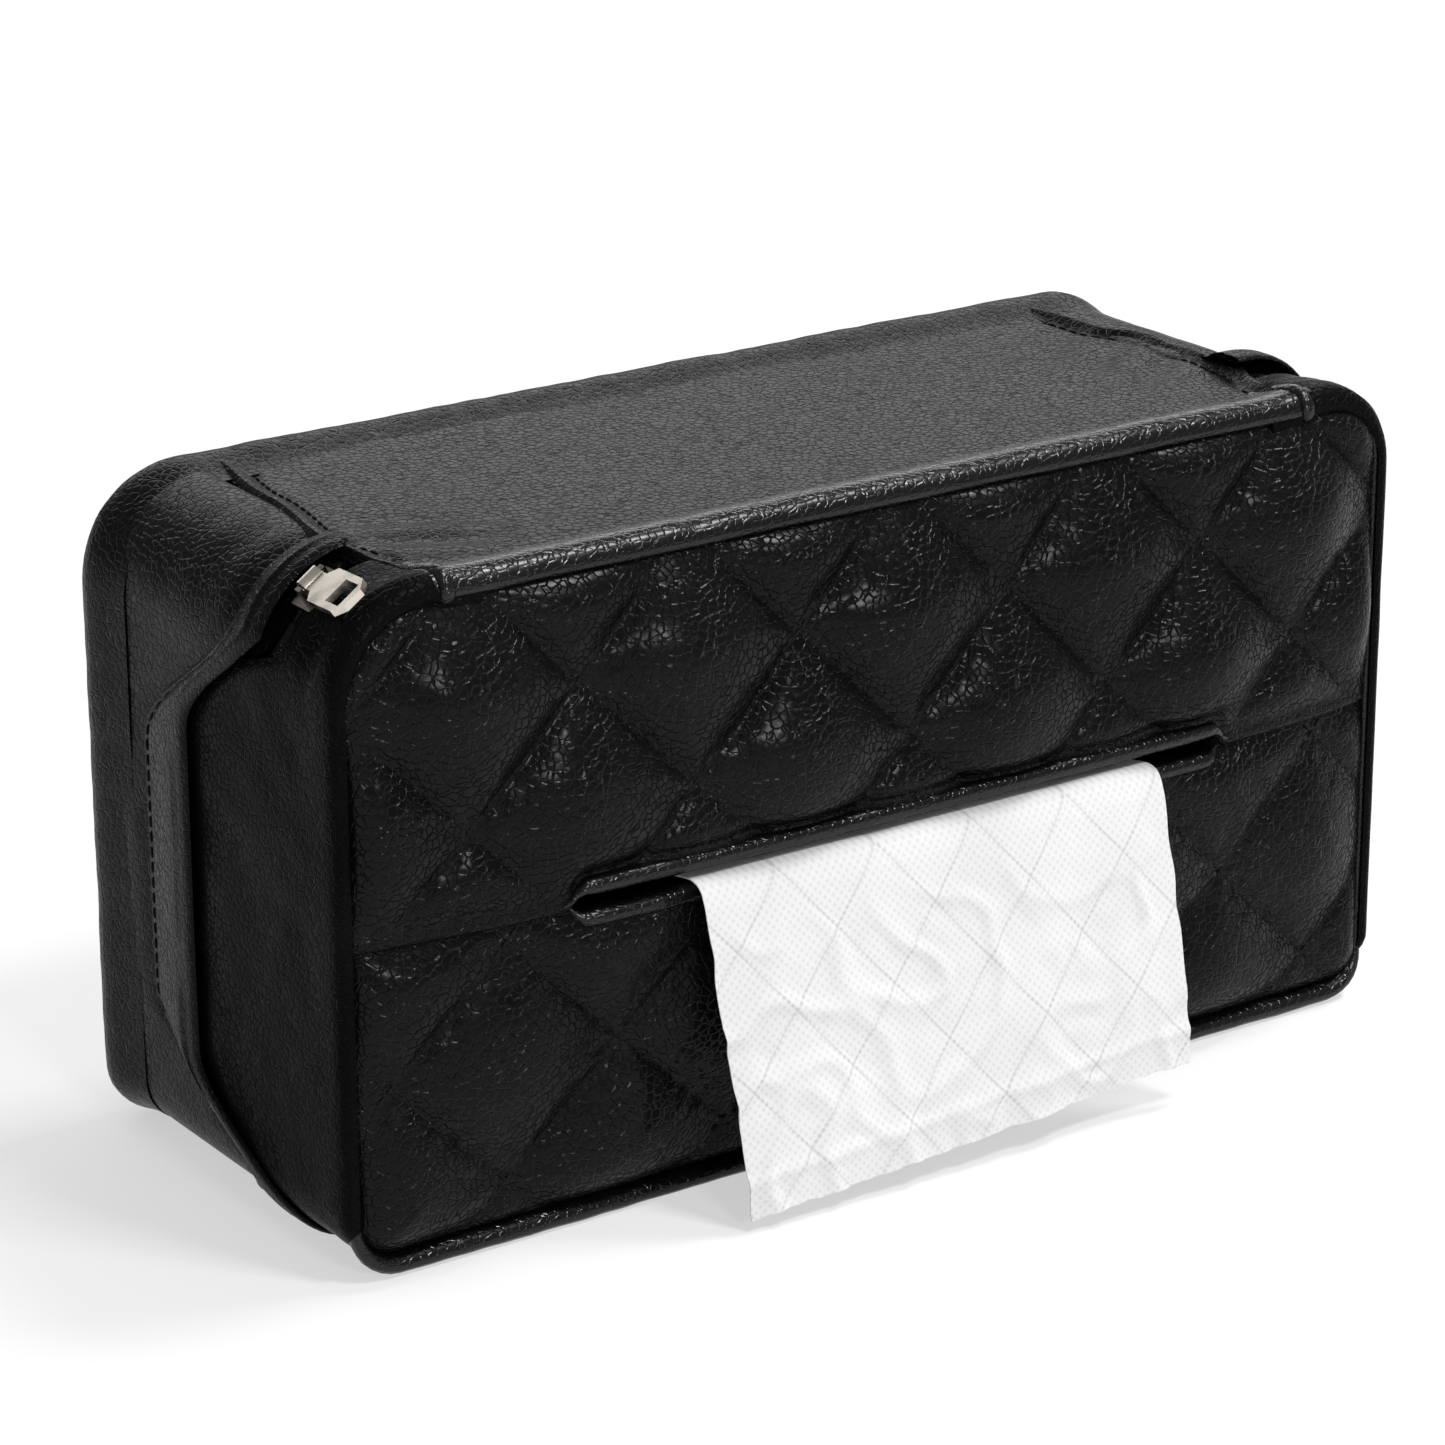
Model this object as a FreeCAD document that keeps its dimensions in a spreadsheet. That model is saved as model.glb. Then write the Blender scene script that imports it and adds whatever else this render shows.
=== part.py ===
"""Quilted leather tissue case that lies on its long side, slot face forward.

A soft clamshell: the front shell carries the quilted slot face, the rear shell holds the
tissue pack, a zip under a flap runs round both ends and the bottom, and the top panel is
the leather hinge between the two shells.

Frame: millimetres, +Z up, X along the case, slot face towards -Y, origin on the resting
face midway between the ends and between the two rims.
"""
import FreeCAD, Part
import math
import os

import Sketcher
from FreeCAD import Placement, Rotation, Vector

SIZES = {
    # Overall, measured over the rolled rims
    "case_length": 240.0,
    "case_height": 129.0,
    "case_depth": 93.0,
    "corner_radius": 20.0,
    "low_corner_radius": 11.0,
    "rim_depth": 5.0,
    "rim_width": 4.4,
    # Gusset band between the rims
    "gusset_inset": 3.0,
    "gusset_radius": 18.5,
    "gusset_low_radius": 9.5,
    "leather": 1.4,
    "lining": 0.6,
    "fit": 0.3,
    "sewn": 0.1,
    "seam_before_corner": 1.0,
    "hem_width": 8.0,
    "hem_lap": 2.0,
    "hem_rise": 1.2,
    # Zip round the two ends and the bottom, with its flap
    "zip_line": -27.0,
    "zip_swing": 34.0,
    "swing_top_run": 34.0,
    "swing_low_run": 30.0,
    "swing_below_top": 8.5,
    "swing_above_base": 6.0,
    "zip_opening": 5.5,
    "tape_width": 10.0,
    "tape_thickness": 0.6,
    "chain_channel": 1.6,
    "tooth_pitch": 4.0,
    "tooth_width": 1.4,
    "tooth_length": 3.0,
    "tooth_height": 1.6,
    "chain_end_gap": 2.25,
    "stop_length": 2.4,
    "flap_front": 3.5,
    "flap_back": 18.0,
    "flap_base_back": 36.0,
    "flap_lift": 0.6,
    "flap_sewn_width": 8.0,
    "flap_notch_left": 12.0,
    "flap_notch_right": 16.0,
    "slider_room": 5.2,
    # Slider and pull, which park on the top left corner
    "slider_angle": 35.0,
    "slider_length": 9.0,
    "slider_width": 8.6,
    "slider_nose": 6.9,
    "slider_tail": 6.0,
    "slider_plate": 0.9,
    "slider_slot": 3.6,
    "slider_lift": 0.5,
    "neck_thickness": 1.0,
    "neck_length": 3.2,
    "neck_setback": 0.4,
    "bail_width": 1.6,
    "bail_span": 6.4,
    "bail_height": 2.1,
    "pull_length": 15.5,
    "pull_width": 8.0,
    "pull_thickness": 1.4,
    "pull_eye": 3.5,
    "pull_droop": -4.0,
    "pull_neck": 3.2,
    "pull_shoulder": 5.0,
    "pull_rounding": 2.0,
    "pull_frame": 1.4,
    "pull_window": 4.6,
    # Quilted slot face
    "panel_tilt": 5.0,
    "panel_edge_sink": 2.7,
    "quilt_pitch": 33.0,
    "quilt_rise": 3.5,
    "quilt_draw_in": 30.0,
    "upper_quilt_x": 0.0,
    "upper_quilt_z": 82.0,
    "lower_quilt_x": -16.3,
    "lower_quilt_z": 36.5,
    "slot_length": 150.0,
    "slot_height": 64.0,
    "slot_gap": 6.0,
    "lip_thickness": 2.6,
    "lip_proud": 6.7,
    "board": 2.0,
    "back_padding": 4.0,
    "back_draw_in": 40.0,
    # Tissues
    "pack_length": 190.0,
    "pack_depth": 48.0,
    "pack_headroom": 11.8,
    "pack_round": 6.0,
    "tissue_width": 105.0,
    "tissue_shift": 3.0,
    "tissue_ply": 0.6,
    "tissue_bend": 5.0,
    "tissue_lean": 13.0,
    "tissue_wave": 2.5,
    "tissue_drop": 55.0,
    "tissue_skew": 6.0,
}

doc = FreeCAD.newDocument("tissue_case")
sheet = doc.addObject("Spreadsheet::Sheet", "Sizes")
for row, (alias, number) in enumerate(SIZES.items(), start=1):
    sheet.set("A%d" % row, alias)
    sheet.set("B%d" % row, str(number))
    sheet.setAlias("B%d" % row, alias)
doc.recompute()


class Size:
    """A length that knows both its value and its spreadsheet expression."""

    def __init__(self, text, value):
        self.text = text
        self.value = value

    @staticmethod
    def of(other):
        return other if isinstance(other, Size) else Size(repr(float(other)), float(other))

    def __add__(self, other):
        other = Size.of(other)
        return Size("(%s + %s)" % (self.text, other.text), self.value + other.value)

    def __sub__(self, other):
        other = Size.of(other)
        return Size("(%s - %s)" % (self.text, other.text), self.value - other.value)

    def __mul__(self, other):
        other = Size.of(other)
        return Size("(%s * %s)" % (self.text, other.text), self.value * other.value)

    def __truediv__(self, other):
        other = Size.of(other)
        return Size("(%s / %s)" % (self.text, other.text), self.value / other.value)

    def __neg__(self):
        return Size("(-1 * %s)" % self.text, -self.value)

    __radd__ = __add__

    def __rmul__(self, other):
        return self * other


class Sizes:
    """Every cell of the sheet as an attribute."""


S = Sizes()
for alias in SIZES:
    setattr(S, alias, Size("Sizes." + alias, float(sheet.get(alias))))

SUB_PARTS = []


def finish(thing, label):
    """Names a finished sub-part and keeps it for export."""
    thing.Label = label
    SUB_PARTS.append(thing)
    return thing


def bind(thing, **sizes):
    """Binds properties of an object to the sheet."""
    for name, size in sizes.items():
        thing.setExpression(name, Size.of(size).text)


def bind_base(thing, x, y, z):
    """Binds the place of an object to the sheet."""
    for axis, size in zip("xyz", (x, y, z)):
        thing.setExpression("Placement.Base." + axis, Size.of(size).text)


def plane_of(body, role):
    return next(feature for feature in body.Origin.OriginFeatures if feature.Role == role)


def new_sketch(body, role, name, offset):
    """A sketch on one of a body's own planes, moved along the plane's normal."""
    sketch = body.newObject("Sketcher::SketchObject", name)
    sketch.AttachmentSupport = [(plane_of(body, role), "")]
    sketch.MapMode = "FlatFace"
    sketch.setExpression("AttachmentOffset.Base.z", Size.of(offset).text)
    return sketch


def dimension(sketch, kind, size, *places):
    """Adds one driving dimension bound to the sheet."""
    index = sketch.addConstraint(Sketcher.Constraint(kind, *places, size.value))
    name = "size%d" % index
    sketch.renameConstraint(index, name)
    sketch.setExpression("Constraints." + name, size.text)


def draw_round_frame(sketch, half_width, low, high, radius, low_radius):
    """Draws a rounded rectangle, even about the sketch's upright axis."""
    w = half_width.value
    r = radius.value
    s = low_radius.value
    bottom_z = low.value
    top_z = high.value
    normal = Vector(0, 0, 1)

    def line(x0, z0, x1, z1):
        return sketch.addGeometry(Part.LineSegment(Vector(x0, z0, 0), Vector(x1, z1, 0)))

    def corner(x, z, size, start):
        circle = Part.Circle(Vector(x, z, 0), normal, size)
        return sketch.addGeometry(Part.ArcOfCircle(circle, start, start + math.pi / 2))

    top = line(r - w, top_z, w - r, top_z)
    right = line(w, top_z - r, w, bottom_z + s)
    bottom = line(w - s, bottom_z, s - w, bottom_z)
    left = line(-w, bottom_z + s, -w, top_z - r)
    top_right = corner(w - r, top_z - r, r, 0)
    top_left = corner(r - w, top_z - r, r, math.pi / 2)
    bottom_left = corner(s - w, bottom_z + s, s, math.pi)
    bottom_right = corner(w - s, bottom_z + s, s, 3 * math.pi / 2)
    joins = [
        (top, 2, top_right, 2), (right, 1, top_right, 1),
        (right, 2, bottom_right, 2), (bottom, 1, bottom_right, 1),
        (bottom, 2, bottom_left, 2), (left, 1, bottom_left, 1),
        (left, 2, top_left, 2), (top, 1, top_left, 1),
    ]
    for join in joins:
        sketch.addConstraint(Sketcher.Constraint("Tangent", *join))
    sketch.addConstraint(Sketcher.Constraint("Equal", top_right, top_left))
    sketch.addConstraint(Sketcher.Constraint("Equal", bottom_right, bottom_left))
    for edge in (top, bottom):
        sketch.addConstraint(Sketcher.Constraint("Horizontal", edge))
    for edge in (left, right):
        sketch.addConstraint(Sketcher.Constraint("Vertical", edge))
    dimension(sketch, "Radius", radius, top_right)
    dimension(sketch, "Radius", low_radius, bottom_right)
    dimension(sketch, "DistanceX", half_width, -1, 1, right, 1)
    dimension(sketch, "DistanceX", half_width, left, 1, -1, 1)
    dimension(sketch, "DistanceY", high, -1, 1, top, 1)
    dimension(sketch, "DistanceY", low, -1, 1, bottom, 1)


def pad_between(body, sketch, front, back, taper=None):
    """Pads a sketch that stands at the back face towards the front face."""
    pad = body.newObject("PartDesign::Pad", sketch.Name + "_pad")
    pad.Profile = sketch
    bind(pad, Length=back - front)
    if taper is not None:
        bind(pad, TaperAngle=taper)
    return pad


def rim_frame(inset):
    """Half width, low and high edge, top and low radius of the rim's outline, moved inwards."""
    return (S.case_length / 2 - inset, Size.of(0) + inset, S.case_height - inset,
            S.corner_radius - inset, S.low_corner_radius - inset)


def band_frame(height):
    """The same for the gusset band's outline at a height above its leather."""
    inset = S.gusset_inset - height
    return (S.case_length / 2 - inset, Size.of(0) + inset, S.case_height - inset,
            S.gusset_radius + height, S.gusset_low_radius + height)


def round_plate(name, frame, front, back, taper=None):
    """A flat plate with rounded corners that faces along the depth."""
    body = doc.addObject("PartDesign::Body", name)
    sketch = new_sketch(body, "XZ_Plane", name + "_outline", -back)
    draw_round_frame(sketch, *frame)
    pad_between(body, sketch, front, back, taper)
    return body


def round_ring(name, outer, inner, front, back):
    """A band with rounded corners, open along the depth."""
    body = doc.addObject("PartDesign::Body", name)
    sketch = new_sketch(body, "XZ_Plane", name + "_section", -back)
    draw_round_frame(sketch, *outer)
    draw_round_frame(sketch, *inner)
    pad_between(body, sketch, front, back)
    return body


def block(name, x, y, z):
    """A box from its low and high sides along each axis."""
    box = doc.addObject("Part::Box", name)
    bind(box, Length=x[1] - x[0], Width=y[1] - y[0], Height=z[1] - z[0])
    bind_base(box, x[0], y[0], z[0])
    return box


def fused(name, pieces):
    fuse = doc.addObject("Part::MultiFuse", name)
    fuse.Shapes = pieces
    return fuse


def cut(name, base, tools):
    """Takes one or more tools away from a base."""
    result = doc.addObject("Part::Cut", name)
    result.Base = base
    result.Tool = tools[0] if len(tools) == 1 else fused(name + "_tools", tools)
    return result


# Levels along the depth and heights that several pieces share
ZERO = Size.of(0)
FRONT = -S.case_depth / 2
BACK = S.case_depth / 2
BAND_FRONT = FRONT + S.rim_depth + S.fit
BAND_BACK = BACK - S.rim_depth - S.fit
PANEL_BACK = BAND_FRONT - S.fit - S.fit - S.sewn
BOARD_FRONT = PANEL_BACK + S.fit
BOARD_BACK = BOARD_FRONT + S.board
LINING_FRONT = BOARD_BACK + S.fit
LINING_BACK = LINING_FRONT + S.lining
REAR_PAD_FRONT = -PANEL_BACK
REAR_BOARD_BACK = -BOARD_FRONT
REAR_BOARD_FRONT = -BOARD_BACK
REAR_LINING_BACK = -LINING_FRONT
REAR_LINING_FRONT = -LINING_BACK
TAPE_TOP = -S.leather - S.sewn
TAPE_LOW = TAPE_TOP - S.tape_thickness
BAND_LINING_TOP = TAPE_LOW - S.sewn
BAND_LINING_LOW = BAND_LINING_TOP - S.lining
BAND_TOP = S.case_height - S.gusset_inset
CORNER_X = S.case_length / 2 - S.gusset_inset - S.gusset_radius
CORNER_TOP_Z = BAND_TOP - S.gusset_radius
CORNER_LOW_X = S.case_length / 2 - S.gusset_inset - S.gusset_low_radius
CORNER_LOW_Z = S.gusset_inset + S.gusset_low_radius
SEAM_X = CORNER_X - S.seam_before_corner
SEAM_GAP = S.fit / 2
FAR = S.case_length
SWING_STEPS = 5
SLOT_LOW = S.slot_height - S.slot_gap / 2
SLOT_HIGH = S.slot_height + S.slot_gap / 2
SLOT_SIDE = S.slot_length / 2
LIP_FRONT = FRONT - S.lip_proud
PANEL_INSET = S.rim_width + S.fit


def rolled_rim(label, depth):
    """A leather rim rolled round a cord: an oval bead along the rounded outline."""
    half_width = S.rim_width / 2
    half_depth = S.rim_depth / 2
    level = S.case_height - half_width
    body = doc.addObject("PartDesign::Body", label)
    spine = new_sketch(body, "XZ_Plane", label + "_path", -depth)
    draw_round_frame(spine, *rim_frame(half_width))
    section = new_sketch(body, "YZ_Plane", label + "_bead", S.corner_radius - S.case_length / 2)
    centre = Vector(depth.value, level.value, 0)
    bead = section.addGeometry(Part.Ellipse(
        centre + Vector(half_depth.value, 0, 0), centre + Vector(0, half_width.value, 0), centre))
    section.exposeInternalGeometry(bead)
    across = bead + 1
    upright = bead + 2
    section.addConstraint(Sketcher.Constraint("Horizontal", across))
    dimension(section, "Distance", S.rim_depth, across, 1, across, 2)
    dimension(section, "Distance", S.rim_width, upright, 1, upright, 2)
    if depth.value < 0:
        dimension(section, "DistanceX", -depth, bead, 3, -1, 1)
    else:
        dimension(section, "DistanceX", depth, -1, 1, bead, 3)
    dimension(section, "DistanceY", level, -1, 1, bead, 3)
    pipe = body.newObject("PartDesign::AdditivePipe", label + "_pipe")
    pipe.Profile = section
    pipe.Spine = (spine, ["Edge%d" % number for number in range(1, 9)])
    return finish(body, label)


def quilt_ridges(name, middle, tilt, turn):
    """Parallel padded ridges on one diagonal, as fat cylinders side by side.

    Where two such sets cross, what they share is a field of square pillows with sewn
    channels between them.
    """
    rise = S.quilt_rise
    half_pitch = S.quilt_pitch / 2
    radius = (half_pitch * half_pitch + rise * rise) / (2 * rise)
    reach = S.case_length + S.case_height
    leaning = Rotation(Vector(1, 0, 0), tilt)
    across = leaning.multVec(Vector(-math.sin(turn), 0, math.cos(turn)))
    along = leaning.multVec(Vector(math.cos(turn), 0, math.sin(turn)))
    outward = leaning.multVec(Vector(0, -1, 0))
    count = math.ceil(S.case_length.value / S.quilt_pitch.value)
    ridges = []
    for number in range(-count // 2, count // 2 + 1):
        ridge = doc.addObject("Part::Cylinder", "%s_%d" % (name, number + count))
        bind(ridge, Radius=radius, Height=reach)
        place = middle + across * ((number + 0.5) * S.quilt_pitch.value)
        place = place - outward * (radius - rise).value - along * (reach.value / 2)
        ridge.Placement = Placement(place, Rotation(Vector(0, 0, 1), along))
        ridges.append(ridge)
    return fused(name, ridges)


def quilted_panel(label, crossing_x, crossing_z, edge_z, tilt_sign, tools):
    """One padded half of the slot face with its crown, pillows and drawn-in rim."""
    plate = round_plate(label + "_outline", rim_frame(PANEL_INSET), -S.case_depth, PANEL_BACK,
                        -S.quilt_draw_in)
    tilt = tilt_sign * S.panel_tilt.value
    rise = abs(edge_z.value - crossing_z.value) * math.tan(math.radians(S.panel_tilt.value))
    edge_y = (FRONT + S.panel_edge_sink).value
    middle = Vector(crossing_x.value, edge_y - rise, crossing_z.value)
    sets = []
    for name, turn in (("rising", math.pi / 4), ("falling", -math.pi / 4)):
        sets.append(quilt_ridges("%s_%s" % (label, name), middle, tilt, turn))
    pillows = doc.addObject("Part::MultiCommon", label + "_pillows")
    pillows.Shapes = [plate] + sets
    return finish(cut(label + "_cut", pillows, tools), label)


def quilted_face():
    """The two quilted panels, which meet at the slot's seam beyond its ends."""
    depth = (-S.case_depth, ZERO)
    wide = (-FAR, FAR)
    side = SLOT_SIDE + S.fit
    upper_tools = [
        block("upper_seam", wide, depth, (-FAR, S.slot_height + SEAM_GAP)),
        block("upper_lip_room", (-side, side), depth,
              (S.slot_height - S.slot_gap, SLOT_HIGH + S.lip_thickness + S.fit)),
    ]
    lower_tools = [
        block("lower_seam", wide, depth, (S.slot_height - SEAM_GAP, FAR)),
        block("lower_lip_room", (-side, side), depth,
              (SLOT_LOW - S.lip_thickness - S.fit, S.slot_height + S.slot_gap)),
    ]
    quilted_panel("front_panel_upper", S.upper_quilt_x, S.upper_quilt_z,
                  S.case_height - PANEL_INSET, 1, upper_tools)
    quilted_panel("front_panel_lower", S.lower_quilt_x, S.lower_quilt_z, PANEL_INSET, -1,
                  lower_tools)


def slot_lip(label, low):
    """A folded leather edge along one side of the slot, rounded at the front."""
    body = doc.addObject("PartDesign::Body", label)
    round_off = S.lip_thickness / 2
    sketch = new_sketch(body, "YZ_Plane", label + "_section", -SLOT_SIDE)
    front = LIP_FRONT
    back = PANEL_BACK - S.fit
    middle = low + round_off
    nose = front + round_off
    circle = Part.Circle(Vector(nose.value, middle.value, 0), Vector(0, 0, 1), round_off.value)
    points = [(nose, low), (back, low), (back, low + S.lip_thickness),
              (nose, low + S.lip_thickness)]
    lines = []
    for start, end in zip(points, points[1:]):
        lines.append(sketch.addGeometry(Part.LineSegment(
            Vector(start[0].value, start[1].value, 0), Vector(end[0].value, end[1].value, 0))))
    arc = sketch.addGeometry(Part.ArcOfCircle(circle, math.pi / 2, 3 * math.pi / 2))
    for first, second in zip(lines, lines[1:]):
        sketch.addConstraint(Sketcher.Constraint("Coincident", first, 2, second, 1))
    sketch.addConstraint(Sketcher.Constraint("Tangent", lines[2], 2, arc, 1))
    sketch.addConstraint(Sketcher.Constraint("Tangent", lines[0], 1, arc, 2))
    sketch.addConstraint(Sketcher.Constraint("Horizontal", lines[0]))
    sketch.addConstraint(Sketcher.Constraint("Vertical", lines[1]))
    dimension(sketch, "DistanceX", -back, lines[1], 1, -1, 1)
    dimension(sketch, "DistanceX", -nose, lines[0], 1, -1, 1)
    dimension(sketch, "DistanceY", low, -1, 1, lines[0], 1)
    dimension(sketch, "DistanceY", low + S.lip_thickness, -1, 1, lines[1], 2)
    pad = body.newObject("PartDesign::Pad", label + "_pad")
    pad.Profile = sketch
    bind(pad, Length=S.slot_length)
    return finish(body, label)


def stiff_plate(label, height, front, back, slotted):
    """A card or lining sheet that fits inside the gusset band behind a large face."""
    frame = band_frame(height - S.fit)
    if not slotted:
        return finish(round_plate(label, frame, front, back), label)
    plate = round_plate(label + "_outline", frame, front, back)
    slot = block(label + "_slot", (-SLOT_SIDE, SLOT_SIDE), (front - S.board, back + S.board),
                 (SLOT_LOW, SLOT_HIGH))
    return finish(cut(label + "_cut", plate, [slot]), label)


def padded_back(label):
    """The plain padded back, drawn in towards its rim."""
    body = doc.addObject("PartDesign::Body", label)
    sketch = new_sketch(body, "XZ_Plane", label + "_outline", -REAR_PAD_FRONT)
    draw_round_frame(sketch, *rim_frame(PANEL_INSET))
    pad = body.newObject("PartDesign::Pad", label + "_pad")
    pad.Profile = sketch
    pad.Reversed = True
    bind(pad, Length=S.back_padding, TaperAngle=-S.back_draw_in)
    return finish(body, label)


def large_faces():
    """Stiffener, lining and padding behind the front and back faces."""
    stiff_plate("front_board", -S.leather, BOARD_FRONT, BOARD_BACK, True)
    stiff_plate("front_lining", BAND_LINING_LOW, LINING_FRONT, LINING_BACK, True)
    stiff_plate("back_board", -S.leather, REAR_BOARD_FRONT, REAR_BOARD_BACK, False)
    stiff_plate("back_lining", BAND_LINING_LOW, REAR_LINING_FRONT, REAR_LINING_BACK, False)
    padded_back("back_panel")


def eased(share):
    """A smooth step from 0 to 1."""
    return share * share * (3 - 2 * share)


def zip_depth(z):
    """Where the zip line runs at a height: forward at the corners, swung back between them."""
    low_start = S.swing_above_base.value
    high_start = (BAND_TOP - S.swing_below_top).value
    share = min((z - low_start) / S.swing_low_run.value,
                (high_start - z) / S.swing_top_run.value)
    return (S.zip_line + S.zip_swing * eased(min(max(share, 0.0), 1.0))).value


def zip_curve(shift):
    """The zip line from below the base to above the top, moved along the depth."""
    steps = [number / SWING_STEPS for number in range(SWING_STEPS + 1)]
    high_start = BAND_TOP - S.swing_below_top
    points = [(S.zip_line + shift, -S.case_depth)]
    for share in steps:
        points.append((S.zip_line + S.zip_swing * eased(share) + shift,
                       S.swing_above_base + S.swing_low_run * share))
    for share in reversed(steps):
        points.append((S.zip_line + S.zip_swing * eased(share) + shift,
                       high_start - S.swing_top_run * share))
    points.append((S.zip_line + shift, FAR))
    return points


def beside_zip(name, front, back):
    """Room between two lines beside the zip, right across the case; None is the far side."""
    lines = []
    for shift, side in ((front, -FAR), (back, FAR)):
        if shift is None:
            lines.append([(side, -S.case_depth), (side, FAR)])
        else:
            lines.append(zip_curve(shift))
    outline = lines[0] + lines[1][::-1]
    body = doc.addObject("PartDesign::Body", name)
    sketch = new_sketch(body, "YZ_Plane", name + "_outline", -FAR)
    edges = []
    for start, stop in zip(outline, outline[1:] + outline[:1]):
        edges.append(sketch.addGeometry(Part.LineSegment(
            Vector(start[0].value, start[1].value, 0), Vector(stop[0].value, stop[1].value, 0))))
    for first, second in zip(edges, edges[1:] + edges[:1]):
        sketch.addConstraint(Sketcher.Constraint("Coincident", first, 2, second, 1))
    for edge, place in zip(edges, outline):
        for kind, size in zip(("DistanceX", "DistanceY"), place):
            if size.value > 0:
                dimension(sketch, kind, size, -1, 1, edge, 1)
            else:
                dimension(sketch, kind, -size, edge, 1, -1, 1)
    pad = body.newObject("PartDesign::Pad", name + "_pad")
    pad.Profile = sketch
    bind(pad, Length=FAR * 2)
    return body


def zip_band(name, top, low, front, back, side_front, side_back):
    """A band between two heights, kept only between two lines beside the zip."""
    ring = round_ring(name + "_ring", band_frame(top), band_frame(low), front, back)
    band = doc.addObject("Part::MultiCommon", name + "_band")
    band.Shapes = [ring, beside_zip(name + "_side", side_front, side_back)]
    return band


def gusset(label, front, back, side_front, side_back):
    """The leather band of one shell, open along the top between its two seams."""
    band = zip_band(label, ZERO, -S.leather, front, back, side_front, side_back)
    side = SEAM_X + SEAM_GAP
    gap = block(label + "_top", (-side, side), (-S.case_depth, S.case_depth),
                (CORNER_TOP_Z, S.case_height))
    return finish(cut(label + "_cut", band, [gap]), label)


def band_lining(label, front, back, side_front, side_back):
    return finish(zip_band(label, BAND_LINING_TOP, BAND_LINING_LOW, front, back, side_front,
                           side_back), label)


def top_panel(label, front, back):
    """Half of the top panel, with a folded hem lapped over the gusset at each end."""
    side = SEAM_X - SEAM_GAP
    hem_low = BAND_TOP
    hem_high = BAND_TOP + S.hem_rise
    sheet_part = block(label + "_sheet", (-side, side), (front, back),
                       (BAND_TOP - S.leather, BAND_TOP))
    hems = []
    for name, low in (("left", -SEAM_X - S.hem_lap), ("right", SEAM_X + S.hem_lap - S.hem_width)):
        hems.append(block("%s_%s_hem" % (label, name), (low, low + S.hem_width), (front, back),
                          (hem_low, hem_high)))
    return finish(fused(label, [sheet_part] + hems), label)


def zip_tape(label, side_front, side_back, stop):
    """One woven tape, sewn inside the gusset's edge and ending at the top seams."""
    ring = zip_band(label, TAPE_TOP, TAPE_LOW, BAND_FRONT, BAND_BACK, side_front, side_back)
    side = SEAM_X + SEAM_GAP
    depth = (-S.case_depth, S.case_depth)
    gaps = [block(label + "_top", (-side, side), depth, (CORNER_TOP_Z, S.case_height))]
    if stop is not None:
        gaps.append(block(label + "_stop", (-FAR, ZERO), depth, (stop, S.case_height)))
    return finish(cut(label + "_cut", ring, gaps), label)


def zip_path(start_angle, end_angle):
    """Places along the band from the top left corner round the bottom to the top right.

    Each place is a point on the gusset's outer surface and the turn of its outward normal,
    in degrees from straight up, counted towards the left.
    """
    high = S.gusset_radius.value
    low = S.gusset_low_radius.value
    upright = CORNER_TOP_Z.value - CORNER_LOW_Z.value
    flat = 2 * CORNER_LOW_X.value
    end = CORNER_X.value + high
    runs = [
        (high, -CORNER_X.value, CORNER_TOP_Z.value, start_angle, 90.0),
        (None, -end, CORNER_TOP_Z.value, 90.0, upright),
        (low, -CORNER_LOW_X.value, CORNER_LOW_Z.value, 90.0, 180.0),
        (None, -CORNER_LOW_X.value, CORNER_LOW_Z.value - low, 180.0, flat),
        (low, CORNER_LOW_X.value, CORNER_LOW_Z.value, 180.0, 270.0),
        (None, end, CORNER_LOW_Z.value, 270.0, upright),
        (high, CORNER_X.value, CORNER_TOP_Z.value, 270.0, end_angle),
    ]
    pitch = S.tooth_pitch.value
    for corner, x, z, first, last in runs:
        if corner is not None:
            length = math.radians(last - first) * corner
            count = int(length // pitch)
            for number in range(count):
                turn = first + (number + 0.5) * (last - first) / count
                angle = math.radians(turn)
                yield x - corner * math.sin(angle), z + corner * math.cos(angle), turn
        else:
            count = int(last // pitch)
            angle = math.radians(first)
            for number in range(count):
                step = (number + 0.5) * last / count
                yield x - step * math.cos(angle), z - step * math.sin(angle), first


def zip_teeth(label, side, start_angle, end_angle):
    """One row of nylon coil turns, as ridges sewn on the outside of its tape's edge."""
    width = S.tooth_width.value
    length = S.tooth_length.value
    height = S.tooth_height.value
    base = (TAPE_TOP + S.sewn).value
    inner = side * S.chain_channel.value / 2
    depth = min(inner, inner + side * length)
    ridge = Part.makePolygon([Vector(-width / 2, depth, base), Vector(width / 2, depth, base),
                              Vector(0, depth, base + height), Vector(-width / 2, depth, base)])
    teeth = []
    for x, z, turn in zip_path(start_angle, end_angle):
        tooth = Part.Face(ridge).extrude(Vector(0, length, 0))
        tooth.Placement = Placement(Vector(x, zip_depth(z), z), Rotation(Vector(0, 1, 0), -turn))
        teeth.append(tooth)
    row = doc.addObject("Part::Feature", label)
    row.Shape = Part.makeCompound(teeth)
    return finish(row, label)


def top_stop(label, angle):
    """The small metal stop that ends the front tape above the slider."""
    radius = S.gusset_radius.value + (TAPE_TOP + S.sewn).value
    stop = doc.addObject("Part::Box", label)
    bind(stop, Length=S.stop_length, Width=S.tooth_length, Height=S.tooth_height)
    leaning = Rotation(Vector(0, 1, 0), -angle)
    corner = Vector(-S.stop_length.value / 2, 0, radius)
    place = leaning.multVec(corner)
    depth = (S.zip_line - S.chain_channel / 2 - S.tooth_length).value
    stop.Placement = Placement(
        place + Vector(-CORNER_X.value, depth, CORNER_TOP_Z.value), leaning)
    return finish(stop, label)


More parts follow.
